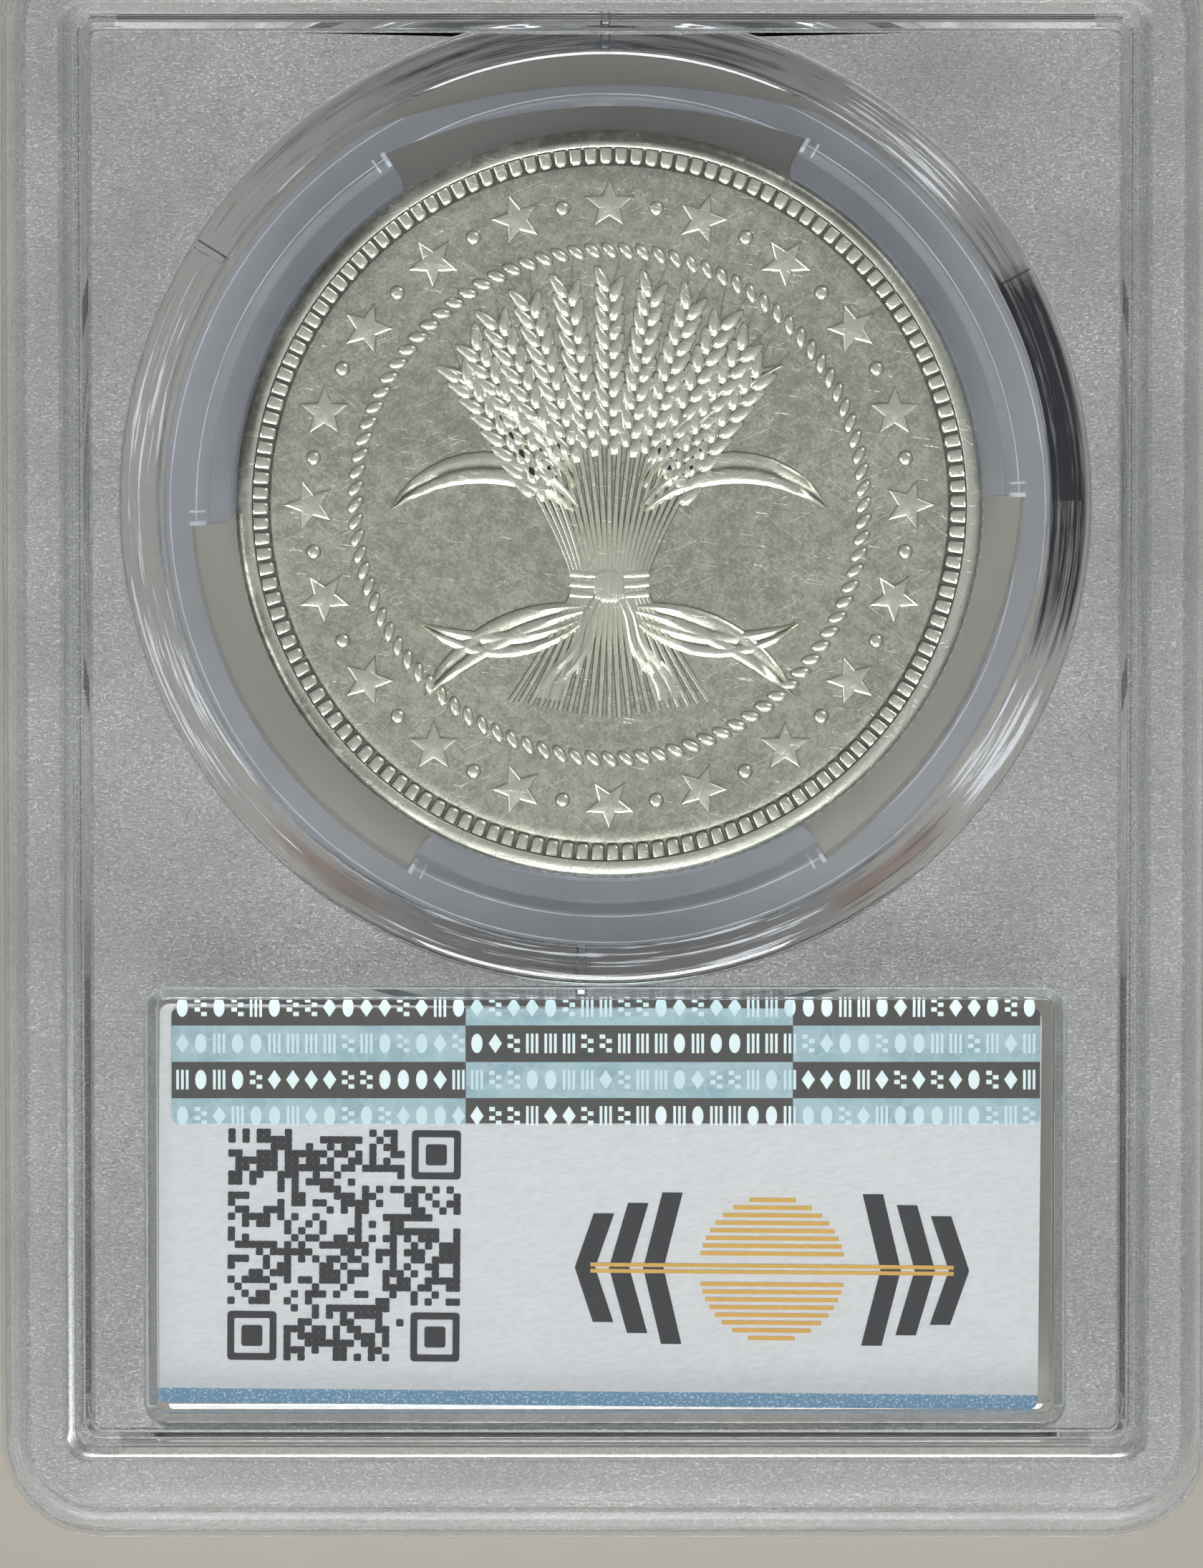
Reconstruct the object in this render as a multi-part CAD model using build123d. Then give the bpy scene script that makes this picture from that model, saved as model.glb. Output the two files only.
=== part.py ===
from build123d import *
import os

# Graded coin slab: a clear welded plastic case that holds one large silver coin and a paper label.
# X runs across the slab, Y along it with the coin end at +Y, and Z through its thickness.
# The slab lies on the stacking ridge of its front shell at Z = 0, and its back faces up.
# All sizes are in millimetres.

# Whole slab
slab_width = 62.0
slab_height = 83.2
slab_thickness = 8.0
corner_radius = 5.2

# Levels through the thickness, from the resting plane up
seam_z = 4.2  # rim of the front shell
seam_gap = 0.06  # the rear shell's walls stop this far above it, and only its tongue reaches the weld
front_border_z = 0.75  # outer face of the front shell's border
front_panel_z = 0.95
front_window_z = 1.15
front_inner_z = 2.2  # inner face of the front shell's plate
back_inner_z = 6.45  # inner face of the rear shell's plate
back_window_z = 7.6
back_panel_z = 7.85
back_border_z = slab_thickness

# Insets of the outer outlines from the largest outline, across the slab and along it
rear_seam_inset = (0.35, 0.35)
rear_shoulder_inset = (1.2, 1.75)
rear_shoulder_radius = 4.0
rear_face_inset = (1.7, 2.3)
rear_face_radius = 3.6
front_flange_step = (0.25, 0.25)
front_shoulder_inset = (0.95, 1.45)
front_shoulder_radius = 4.2
front_face_inset = (1.45, 2.0)
front_face_radius = 3.8
shoulder_height = 0.5
flange_height = 0.45
skirt_inset = (2.1, 2.1)  # inner face of the outer walls
skirt_radius = 3.2

# Stacking groove on the back and the ridge on the front that drops into the next slab's groove
band_width, band_height = 55.4, 74.4  # outer edge of the groove's mouth
band_radius = 1.35
groove_outer_slope = 0.65
groove_floor = 0.5
groove_inner_slope = 0.5
groove_width = groove_outer_slope + groove_floor + groove_inner_slope
groove_middle = groove_outer_slope + groove_floor / 2
groove_depth = 0.85
groove_corner_share = 0.52  # how much of an inset comes off the groove's corner radius
groove_least_radius = 0.4
panel_radius = 0.5  # corner radius of the panel inside the groove
ridge_play = 0.25
ridge_draft = 0.35
ridge_tip = 0.55

# Weld joint under the groove
weld_rib = 1.1
weld_tongue = 0.5
weld_tongue_tip = 0.12  # the tongue narrows to the edge that melts
weld_tongue_height = 0.45
weld_seat = 1.7
weld_play = 0.05

# Coin window and the round well behind it
well_center = (0.0, 11.8)
window_radius = 24.67
well_inner_radius = 23.0
well_outer_radius = 24.35
well_draft = 0.12
well_gap = 0.14  # the rear shell's well wall stops this far above the front shell's
window_draft = 0.1
notch_angles = (28, 90, 148, 267)
notch_width = 0.45
notch_height = 1.5
notch_reach = 3.0  # length of the cut that makes a notch

# Label window
label_center = (0.0, -24.2)
label_window = (47.0, 22.5)
label_window_radius = 1.35
label_window_slope = 0.65
label_floor_radius = 0.5
back_label_floor_z = 6.9
front_label_floor_z = 1.8
label_block = (46.2, 21.9)  # clear block of the rear shell that presses the label
label_block_radius = 0.8
label_block_z = 4.55
label_tray = (47.0, 22.7)  # platform of the front shell that carries the label
label_tray_radius = 1.0
label_tray_z = 4.0
label_tray_wall = 0.3
label_tray_wall_z = 4.5

# Round marks left by the ejector pins inside the rear shell's corners
pin_mark_radius = 0.9
pin_mark_depth = 0.08
pin_mark_place = (25.05, 34.4)

# Gasket: a clear ring whose three prongs grip the coin
gasket_center = (0.12, 11.5)  # settled a little low in the well
gasket_outer_radius = 22.6
gasket_inner_radius = 21.15
gasket_play = 0.05
prong_overlap = 0.4  # how far a prong runs into the ring
prong_angle = 60.5
prong_middles = (31.5, 152.5, 271.5)
prong_groove_radius = 19.2
prong_lip_radius = 18.9
prong_corner_radius = 0.9
prong_step_radii = (20.3, 20.75)
prong_lip_height = 0.28
prong_grip = 0.1  # the prong's groove is this much wider than the coin
bridge_bows = (1.25, 0.0, 0.6)  # how far each span between two prongs is bowed inwards
bridge_inner_share = 0.7

# Coin
coin_center = (0.2, 11.52)  # settled in the prongs
coin_radius = 19.05
coin_thickness = 2.4
coin_rim_width = 0.65
coin_field_radius = 17.5
coin_field_depth = 0.2
reed_count = 180
reed_depth = 0.12

# Paper label and the foil strip on it
card_size = (45.1, 20.5)
card_thickness = 0.3
card_radius = 0.5
card_center = (-0.32, -24.45)
card_turn = -0.5
strip_size = (44.4, 5.9)
strip_thickness = 0.08
strip_radius = 0.35
strip_center = (0.02, -17.2)


def outline(inset, radius):
    """Rounded outline of the slab, set in from its largest outline."""
    return RectangleRounded(slab_width - 2 * inset[0], slab_height - 2 * inset[1], radius)


def band(inset):
    """Rounded outline that follows the stacking groove, set in from the groove's outer edge."""
    radius = max(band_radius - groove_corner_share * inset, groove_least_radius)
    return RectangleRounded(band_width - 2 * inset, band_height - 2 * inset, radius)


def prism(sketch, low, high):
    """Straight solid on a sketch, between two levels."""
    return extrude(Pos(0, 0, low) * sketch, high - low)


def frustum(low_sketch, low, high_sketch, high):
    """Solid whose outline runs straight from one sketch to another."""
    return loft([Pos(0, 0, low) * low_sketch, Pos(0, 0, high) * high_sketch])


def turned(center, *profile):
    """Solid of revolution about a vertical axis, from (radius, level) points."""
    section = Plane.XZ * make_face(Polyline(*profile, close=True))
    return Pos(*center, 0) * revolve(section, Axis.Z)


def at_corners(place, solid):
    """The same small solid at the four corners of the slab."""
    return [Pos(x, y, 0) * solid for x in (-place[0], place[0]) for y in (-place[1], place[1])]


def band_ring(width, low, high, low_width=None):
    """Wall under the middle of the stacking groove; low_width is its width at its lower edge."""
    narrow = width if low_width is None else low_width
    outer = frustum(band(groove_middle - narrow / 2), low, band(groove_middle - width / 2), high)
    inner = frustum(band(groove_middle + narrow / 2), low, band(groove_middle + width / 2), high)
    return outer - inner


def panel():
    """Outline of the panel inside the stacking groove."""
    return RectangleRounded(
        band_width - 2 * groove_width, band_height - 2 * groove_width, panel_radius
    )


def label_outline(size, radius):
    """Rounded rectangle about the middle of the label window."""
    return Pos(*label_center) * RectangleRounded(*size, radius)


def window_recess(mouth, floor):
    """Polished round window, cut short where it would run into the stacking groove."""
    outward = mouth + (1 if mouth > floor else -1)
    disc = turned(
        well_center,
        (0, floor),
        (window_radius - window_draft, floor),
        (window_radius, mouth),
        (window_radius, outward),
        (0, outward),
    )
    clip = prism(band(groove_width + window_draft), min(floor, outward), max(floor, outward))
    return disc & clip


def label_recess(mouth, floor):
    """Rectangular window with sloping sides around the label."""
    inner = [side - 2 * label_window_slope for side in label_window]
    sketches = {
        mouth: label_outline(label_window, label_window_radius),
        floor: label_outline(inner, label_floor_radius),
    }
    low, high = sorted(sketches)
    cut = frustum(sketches[low], low, sketches[high], high)
    outside = mouth + (1 if mouth > floor else -1)
    return cut + prism(sketches[mouth], min(mouth, outside), max(mouth, outside))


def well_wall(plate, seam):
    """Round wall of the coin well, from a shell's plate to the seam."""
    return turned(
        well_center,
        (well_inner_radius, plate),
        (well_outer_radius, plate),
        (well_outer_radius - well_draft, seam),
        (well_inner_radius + well_draft, seam),
    )


def notches(low, high):
    """Narrow slots through the well wall."""
    slot = Pos((well_inner_radius + well_outer_radius) / 2, 0, (low + high) / 2) * Box(
        notch_reach, notch_width, high - low
    )
    return [Pos(*well_center, 0) * Rot(0, 0, angle) * slot for angle in notch_angles]


def make_rear_shell():
    """The shell that faces up: groove, windows, weld rib, well wall and label block."""
    rim_z = seam_z + seam_gap
    shoulder = back_border_z - shoulder_height
    shoulder_outline = outline(rear_shoulder_inset, rear_shoulder_radius)
    body = frustum(
        outline(rear_seam_inset, corner_radius - rear_seam_inset[0]),
        rim_z,
        shoulder_outline,
        shoulder,
    )
    body += frustum(
        shoulder_outline, shoulder, outline(rear_face_inset, rear_face_radius), back_border_z
    )
    body -= prism(outline(skirt_inset, skirt_radius), rim_z, back_inner_z)
    body += band_ring(weld_rib, rim_z, back_inner_z)
    body += band_ring(weld_tongue, seam_z - weld_tongue_height, rim_z, weld_tongue_tip)
    body += well_wall(back_inner_z, seam_z + well_gap)
    block = label_outline(label_block, label_block_radius)
    body += prism(block, label_block_z, back_inner_z)

    body -= prism(panel(), back_panel_z, back_border_z)
    floor_z = back_border_z - groove_depth
    groove = frustum(band(groove_outer_slope), floor_z, band(0), back_border_z)
    groove -= frustum(band(groove_outer_slope + groove_floor), floor_z, panel(), back_border_z)
    body -= groove
    body -= window_recess(back_panel_z, back_window_z)
    body -= label_recess(back_panel_z, back_label_floor_z)
    body -= notches(seam_z, seam_z + notch_height)
    mark = Pos(0, 0, back_inner_z + pin_mark_depth / 2) * Cylinder(pin_mark_radius, pin_mark_depth)
    body -= at_corners(pin_mark_place, mark)
    return body


def make_front_shell():
    """The shell that the slab lies on: flange, ridge, windows, weld seat and label tray."""
    shoulder = front_border_z + shoulder_height
    flange_low = seam_z - flange_height
    step_radius = corner_radius - front_flange_step[0]
    body = prism(outline((0, 0), corner_radius), flange_low, seam_z)
    shoulder_outline = outline(front_shoulder_inset, front_shoulder_radius)
    body += frustum(shoulder_outline, shoulder, outline(front_flange_step, step_radius), flange_low)
    body += frustum(
        outline(front_face_inset, front_face_radius), front_border_z, shoulder_outline, shoulder
    )
    body -= prism(outline(skirt_inset, skirt_radius), front_inner_z, seam_z)
    body += band_ring(weld_seat, front_inner_z, seam_z)
    body += well_wall(front_inner_z, seam_z)
    tray = label_outline(label_tray, label_tray_radius)
    inner = label_outline(
        [side - 2 * label_tray_wall for side in label_tray], label_tray_radius - label_tray_wall
    )
    body += prism(tray, front_inner_z, label_tray_z)
    body += prism(tray - inner, label_tray_z, label_tray_wall_z)
    body -= band_ring(weld_tongue + 2 * weld_play, seam_z - weld_tongue_height, seam_z)

    body -= prism(panel(), front_border_z, front_panel_z)
    body -= window_recess(front_panel_z, front_window_z)
    body -= label_recess(front_panel_z, front_label_floor_z)
    tip_outer = ridge_play + ridge_draft
    ridge = frustum(band(tip_outer), 0, band(ridge_play), front_panel_z)
    ridge -= frustum(
        band(tip_outer + ridge_tip), 0, band(groove_width - ridge_play), front_panel_z
    )
    body += ridge
    return body


def polar(radius, angle):
    """Point at a radius and an angle in degrees."""
    return Vector(radius, 0, 0).rotate(Axis.Z, angle)


def gasket_outline(radius, bow_share):
    """Closed outline of arcs: round behind the prongs, bowed inwards on the spans between them."""
    half = prong_angle / 2
    edges = []
    for index, middle in enumerate(prong_middles):
        start, end = middle - half, middle + half
        following = prong_middles[(index + 1) % len(prong_middles)]
        following += 360 if following < middle else 0
        bow = bridge_bows[index] * bow_share
        span_end = following - half
        edges.append(ThreePointArc(polar(radius, start), polar(radius, middle), polar(radius, end)))
        edges.append(
            ThreePointArc(
                polar(radius, end),
                polar(radius - bow, (end + span_end) / 2),
                polar(radius, span_end),
            )
        )
    return make_face(edges)


def prong_sketch(inner_radius, middle, corner):
    """Sector from the tip of a prong to well inside the ring, with rounded tip corners."""
    half = prong_angle / 2
    outer_radius = gasket_inner_radius + prong_overlap
    start, end = middle - half, middle + half
    face = make_face(
        [
            ThreePointArc(
                polar(outer_radius, start), polar(outer_radius, middle), polar(outer_radius, end)
            ),
            Line(polar(outer_radius, end), polar(inner_radius, end)),
            ThreePointArc(
                polar(inner_radius, end), polar(inner_radius, middle), polar(inner_radius, start)
            ),
            Line(polar(inner_radius, start), polar(outer_radius, start)),
        ]
    )
    tips = face.vertices().sort_by(lambda vertex: Vector(vertex).length)[:2]
    return fillet(tips, corner)


def make_gasket():
    """Clear ring with bowed spans and three prongs, each grooved to hold the coin's rim."""
    low, high = front_inner_z + gasket_play, back_inner_z - gasket_play
    middle_z = (low + high) / 2
    coin_gap = coin_thickness + prong_grip
    ring = prism(gasket_outline(gasket_outer_radius, 1.0), low, high)
    ring -= prism(gasket_outline(gasket_inner_radius, bridge_inner_share), low, high)
    lip_low, lip_high = middle_z - coin_gap / 2, middle_z + coin_gap / 2
    for middle in prong_middles:
        ring += prism(prong_sketch(prong_lip_radius, middle, prong_corner_radius), low, high)
    step_inner, step_outer = prong_step_radii
    top, bottom = lip_high + prong_lip_height, lip_low - prong_lip_height
    for level, face in ((top, high + 1), (bottom, low - 1)):
        surface = high if face > level else low
        ring -= turned((0, 0), (0, level), (step_inner, level), (step_outer, surface),
                       (step_outer, face), (0, face))
    ring -= turned(
        (0, 0), (0, lip_low), (prong_groove_radius, lip_low), (prong_groove_radius, lip_high),
        (0, lip_high),
    )
    return Pos(*gasket_center, 0) * ring


def reeding():
    """Outline of the coin's reeded edge, of sharp crests and roots in turn."""
    step = 360 / (2 * reed_count)
    depths = (0, reed_depth)
    return Polyline(
        *[polar(coin_radius - depths[i % 2], step * i) for i in range(2 * reed_count)], close=True
    )


def make_coin():
    """Silver coin: a reeded blank with a sunken field in each face, which leaves its rims raised."""
    half = coin_thickness / 2
    field = half - coin_field_depth
    rim_inner = coin_radius - coin_rim_width
    coin = prism(make_face(reeding()), -half, half)
    for side in (-1, 1):
        coin -= turned(
            (0, 0),
            (0, side * field),
            (coin_field_radius, side * field),
            (rim_inner, side * half),
            (0, side * half),
        )
    middle_z = (front_inner_z + back_inner_z) / 2
    return Pos(*coin_center, middle_z) * coin


def make_card():
    """Paper label, lying a little askew in its tray."""
    sheet = Pos(*card_center) * Rot(0, 0, card_turn) * RectangleRounded(*card_size, card_radius)
    return prism(sheet, label_tray_z, label_tray_z + card_thickness)


def make_strip():
    """Thin security foil on the upper face of the label."""
    low = label_tray_z + card_thickness
    foil = Pos(*strip_center) * RectangleRounded(*strip_size, strip_radius)
    return prism(foil, low, low + strip_thickness)


pieces = {
    "front_shell": make_front_shell(),
    "rear_shell": make_rear_shell(),
    "coin_gasket": make_gasket(),
    "coin": make_coin(),
    "label_card": make_card(),
    "security_strip": make_strip(),
}

os.makedirs("parts", exist_ok=True)
for name, piece in pieces.items():
    solids = piece.solids()
    print(name, len(solids), "solid", round(sum(solid.volume for solid in solids), 1), "mm3")
    export_step(solids[0] if len(solids) == 1 else Compound(solids), f"parts/{name}.step")
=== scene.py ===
"""Visual model of a graded-coin slab.

Two welded clear shells hold a struck coin in a soft gasket, above a printed card with a foil
strip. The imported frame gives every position; all sizes in this file are millimetres, and
meshes are written in metres.
"""
import sys
import logging
import math
from dataclasses import dataclass, field
from enum import Enum

import bmesh
import bpy
from mathutils import Matrix, Vector


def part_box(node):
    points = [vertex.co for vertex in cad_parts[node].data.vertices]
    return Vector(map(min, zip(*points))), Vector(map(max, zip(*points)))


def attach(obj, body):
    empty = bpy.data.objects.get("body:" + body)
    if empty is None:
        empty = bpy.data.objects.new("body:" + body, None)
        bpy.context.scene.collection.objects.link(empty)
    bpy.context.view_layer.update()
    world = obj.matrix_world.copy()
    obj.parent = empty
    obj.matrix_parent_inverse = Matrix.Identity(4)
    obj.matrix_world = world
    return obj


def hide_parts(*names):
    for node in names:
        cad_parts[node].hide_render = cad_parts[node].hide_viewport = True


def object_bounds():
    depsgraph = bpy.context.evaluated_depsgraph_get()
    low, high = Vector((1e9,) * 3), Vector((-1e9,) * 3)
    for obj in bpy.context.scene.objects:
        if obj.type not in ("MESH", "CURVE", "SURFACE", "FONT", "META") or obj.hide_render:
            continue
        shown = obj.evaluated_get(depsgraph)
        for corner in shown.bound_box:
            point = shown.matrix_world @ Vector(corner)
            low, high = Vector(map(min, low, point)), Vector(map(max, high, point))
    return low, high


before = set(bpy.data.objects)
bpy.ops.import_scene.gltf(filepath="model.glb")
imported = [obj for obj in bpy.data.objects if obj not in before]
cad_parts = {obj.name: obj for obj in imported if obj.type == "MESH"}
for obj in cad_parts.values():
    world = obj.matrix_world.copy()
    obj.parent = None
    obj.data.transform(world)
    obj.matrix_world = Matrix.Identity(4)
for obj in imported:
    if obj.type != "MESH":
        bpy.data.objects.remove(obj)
CAD_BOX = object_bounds()

MM = 0.001
BODY = "root"
LOG = logging.getLogger("slab")

Colour = tuple[float, float, float]
Point = tuple[float, float, float]
Pair = tuple[float, float]
Outline = list[Pair]
Zone = tuple[float, float, float, float]
Socket = bpy.types.NodeSocket
Material = bpy.types.Material
Mesh = bpy.types.Mesh

PRINT_FOOT = -0.002
RELIEF_FOOT = -0.05


# ---------------------------------------------------------------- colours and faces of the slab


class Face(Enum):
    """The two faces of the coin, by the direction they look in."""

    UPPER = 1
    LOWER = -1


class Slot(Enum):
    """The material slots."""

    SHELL = "shell_plastic"
    GASKET = "gasket_plastic"
    SILVER = "coin_silver"
    PAPER = "label_paper"
    FOIL = "foil"


def linear(red: float, green: float, blue: float) -> Colour:
    """Give the linear colour of an sRGB colour written as 0 to 255.

    Args:
        red: The red share, 0 to 255.
        green: The green share, 0 to 255.
        blue: The blue share, 0 to 255.

    Returns:
        The three linear shares, 0 to 1.
    """
    shares = (red / 255, green / 255, blue / 255)
    return tuple(s / 12.92 if s < 0.04045 else ((s + 0.055) / 1.055) ** 2.4 for s in shares)


# ---------------------------------------------------------------- shader maths


class Term:
    """A number or a socket in a material's maths, where Python's operators add Math nodes."""

    def __init__(self, graph: "Graph", source: "Socket | float") -> None:
        """Wrap a socket or a number of one graph."""
        self.graph = graph
        self.source = source

    def with_others(self, operation: str, *others: "Term | float", **settings: object) -> "Term":
        """Add one Math node whose first value is this term.

        Args:
            operation: The Math node's operation.
            others: The values of its other inputs.
            settings: More settings of the node, such as use_clamp.

        Returns:
            The node's value.
        """
        chosen = {"operation": operation, **settings}
        values = {place: value for place, value in enumerate((self, *others))}
        return self.graph.term("ShaderNodeMath", chosen, values)

    def __add__(self, other: "Term | float") -> "Term":
        """Add."""
        return self.with_others("ADD", other)

    __radd__ = __add__

    def __sub__(self, other: "Term | float") -> "Term":
        """Subtract."""
        return self.with_others("SUBTRACT", other)

    def __rsub__(self, other: float) -> "Term":
        """Subtract this term from a number."""
        return Term(self.graph, other).with_others("SUBTRACT", self)

    def __mul__(self, other: "Term | float") -> "Term":
        """Multiply."""
        return self.with_others("MULTIPLY", other)

    __rmul__ = __mul__

    def __truediv__(self, other: "Term | float") -> "Term":
        """Divide."""
        return self.with_others("DIVIDE", other)

    def __rtruediv__(self, other: float) -> "Term":
        """Divide a number by this term."""
        return Term(self.graph, other).with_others("DIVIDE", self)

    def __abs__(self) -> "Term":
        """Drop the sign."""
        return self.with_others("ABSOLUTE")

    def __pow__(self, power: float) -> "Term":
        """Raise to a power."""
        return self.with_others("POWER", power)

    def least(self, other: "Term | float") -> "Term":
        """Take the smaller of two values."""
        return self.with_others("MINIMUM", other)

    def most(self, other: "Term | float") -> "Term":
        """Take the larger of two values."""
        return self.with_others("MAXIMUM", other)

    def root(self) -> "Term":
        """Take the square root."""
        return self.with_others("SQRT")

    def bearing(self, across: "Term") -> "Term":
        """Give the direction of the point with this y and the given x, from 0 to 360 degrees."""
        turn = self.with_others("ARCTAN2", across) * math.degrees(1.0)
        return (turn + 360.0).with_others("MODULO", 360.0)

    def rise(self, start: float, end: float) -> "Term":
        """Rise smoothly from 0 to 1 between two values; start above end gives a fall.

        Args:
            start: The value where the result is 0.
            end: The value where the result is 1.

        Returns:
            A mask from 0 to 1.
        """
        falls = float(start > end)
        return self.graph.term("ShaderNodeMapRange", {"interpolation_type": "SMOOTHSTEP"}, {
            "Value": self, "From Min": min(start, end), "From Max": max(start, end),
            "To Min": falls, "To Max": 1.0 - falls})

    def between(self, low: float, high: float, soft: float) -> "Term":
        """Mask the values from low to high, with soft ends.

        Args:
            low: The lowest value inside.
            high: The highest value inside.
            soft: The width over which each end fades.

        Returns:
            A mask from 0 to 1.
        """
        return self.rise(low - soft, low + soft) * self.rise(high + soft, high - soft)

    def zones(self, zones: tuple[Zone, ...]) -> "Term":
        """Mask several zones.

        Args:
            zones: The two ends, the softness and the strength of each.

        Returns:
            A mask from 0 to 1.
        """
        found = Term(self.graph, 0.0)
        for low, high, soft, strength in zones:
            found = (self.between(low, high, soft) * strength).most(found)
        return found


def feed(tree: bpy.types.NodeTree, socket: Socket, value: object) -> None:
    """Link a socket, or set its own value.

    Args:
        tree: The socket's tree.
        socket: The input socket.
        value: A term or a socket to link, or the value to hold.
    """
    if isinstance(value, Term):
        value = value.source
    if isinstance(value, Socket):
        tree.links.new(value, socket)
    elif isinstance(value, tuple) and socket.type == "RGBA":
        socket.default_value = (*value, 1.0)
    else:
        socket.default_value = value


def add_node(tree: bpy.types.NodeTree, kind: str, settings: dict[str, object] | None,
             values: dict[str | int, object] | None) -> bpy.types.Node:
    """Add any node to a tree.

    Args:
        tree: The tree.
        kind: The node's type, such as ShaderNodeTexNoise.
        settings: Its own settings, which are set first.
        values: What its input sockets hold or are linked to, by name or place.

    Returns:
        The node.
    """
    made = tree.nodes.new(kind)
    for setting, value in (settings or {}).items():
        setattr(made, setting, value)
    for place, value in (values or {}).items():
        feed(tree, made.inputs[place], value)
    return made


class Graph:
    """The node tree of one material or of the world, which starts with only its output."""

    def __init__(self, name: str, of_world: bool = False) -> None:
        """Make the material or the world.

        Args:
            name: Its name.
            of_world: Whether it is a world.
        """
        self.holder = (bpy.data.worlds if of_world else bpy.data.materials).new(name)
        self.holder.use_nodes = True
        self.tree = self.holder.node_tree
        self.tree.nodes.clear()
        self.output = self.tree.nodes.new(
            "ShaderNodeOutputWorld" if of_world else "ShaderNodeOutputMaterial")

    def node(self, kind: str, settings: dict[str, object] | None = None,
             values: dict[str | int, object] | None = None) -> bpy.types.Node:
        """Add any node, by its type, its own settings and what its sockets hold."""
        return add_node(self.tree, kind, settings, values)

    def term(self, kind: str, settings: dict[str, object] | None = None,
             values: dict[str | int, object] | None = None, out: str | int = 0) -> Term:
        """Add a node and wrap one of its outputs.

        Args:
            kind: The node's type.
            settings: Its own settings.
            values: Its inputs.
            out: The output's name or place.

        Returns:
            The output as a term.
        """
        return Term(self, self.node(kind, settings, values).outputs[out])

    def place(self) -> Socket:
        """Give the point on the object, in metres."""
        return self.node("ShaderNodeTexCoord").outputs["Object"]

    def axes(self, centre: Point = (0.0, 0.0, 0.0)) -> tuple[Term, Term, Term]:
        """Give the point's three coordinates in millimetres, measured from a centre.

        Args:
            centre: The point that is 0, 0, 0, in millimetres.

        Returns:
            The x, y and z terms.
        """
        moved = self.node("ShaderNodeMapping", {"vector_type": "TEXTURE"}, {
            "Vector": self.place(),
            "Location": tuple(c * MM for c in centre),
            "Scale": (MM, MM, MM),
        })
        parts = self.node("ShaderNodeSeparateXYZ", values={0: moved.outputs[0]})
        return tuple(Term(self, socket) for socket in parts.outputs)

    def stretched(self, grain: Point, turn: float = 0.0) -> Socket:
        """Give a vector in which one grain of a texture is 1 wide.

        Args:
            grain: The grain's size along x, y and z, in millimetres.
            turn: How far the grain is turned about z, in degrees.

        Returns:
            The vector socket.
        """
        turned = self.node("ShaderNodeMapping", {"vector_type": "TEXTURE"}, {
            "Vector": self.place(),
            "Rotation": (0.0, 0.0, math.radians(turn)),
            "Scale": tuple(g * MM for g in grain),
        })
        return turned.outputs[0]

    def noise(self, grain: Point, detail: float = 2.0, turn: float = 0.0,
              roughness: float = 0.5) -> Term:
        """Add a noise whose grain has a size in millimetres.

        Args:
            grain: The grain's size along x, y and z.
            detail: How many finer layers it has.
            turn: How far the grain is turned about z, in degrees.
            roughness: How strong the finer layers are.

        Returns:
            The noise, about 0.5 in the mean.
        """
        values = {"Vector": self.stretched(grain, turn), "Scale": 1.0, "Detail": detail,
                  "Roughness": roughness}
        return self.term("ShaderNodeTexNoise", None, values)

    def cells(self, grain: Point, turn: float = 0.0, feature: str = "F1") -> Term:
        """Add a Voronoi texture whose cells have a size in millimetres.

        Args:
            grain: The cell's size along x, y and z.
            turn: How far the cells are turned about z, in degrees.
            feature: The texture's feature.

        Returns:
            The distance to a cell's middle or edge.
        """
        values = {"Vector": self.stretched(grain, turn), "Scale": 1.0}
        return self.term("ShaderNodeTexVoronoi", {"feature": feature}, values, "Distance")

    def mixed(self, below: "Colour | Socket", above: "Colour | Socket",
              share: "Term | float") -> Socket:
        """Lay one colour over another.

        Args:
            below: The colour where share is 0.
            above: The colour where share is 1.
            share: How much of the upper colour shows.

        Returns:
            The mixed colour's socket.
        """
        made = self.node("ShaderNodeMix", {"data_type": "RGBA"}, {"Factor": share})
        colours = [socket for socket in made.inputs if socket.type == "RGBA"]
        feed(self.tree, colours[0], below)
        feed(self.tree, colours[1], above)
        return next(socket for socket in made.outputs if socket.type == "RGBA")

    def shader(self, colour: "Colour | Socket", roughness: "Term | float",
               normal: Socket | None = None, **more: object) -> Socket:
        """Add a Principled shader.

        Args:
            colour: Its base colour.
            roughness: Its roughness.
            normal: Its normal, if it isn't the mesh's own.
            more: Its other inputs, with an underscore for each space in their names.

        Returns:
            The shader's socket.
        """
        values = {"Base Color": colour, "Roughness": roughness}
        if normal is not None:
            values["Normal"] = normal
        values.update({name.replace("_", " "): value for name, value in more.items()})
        return self.node("ShaderNodeBsdfPrincipled", None, values).outputs[0]

    def bump(self, height: Term, depth: float, below: object = None) -> Socket:
        """Turn a height from 0 to 1 into a normal.

        Args:
            height: The height term.
            depth: How deep a height of 1 is, in millimetres.
            below: A normal that this bump lies on.

        Returns:
            The normal's socket.
        """
        values = {"Height": height, "Distance": depth * MM, "Strength": 1.0}
        if below is not None:
            values["Normal"] = below
        return self.node("ShaderNodeBump", None, values).outputs[0]

    def finish(self, surface: Socket) -> bpy.types.ID:
        """Link the shader to the output and give the material or the world."""
        self.tree.links.new(surface, self.output.inputs["Surface"])
        return self.holder


# ---------------------------------------------------------------- finishes


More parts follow.
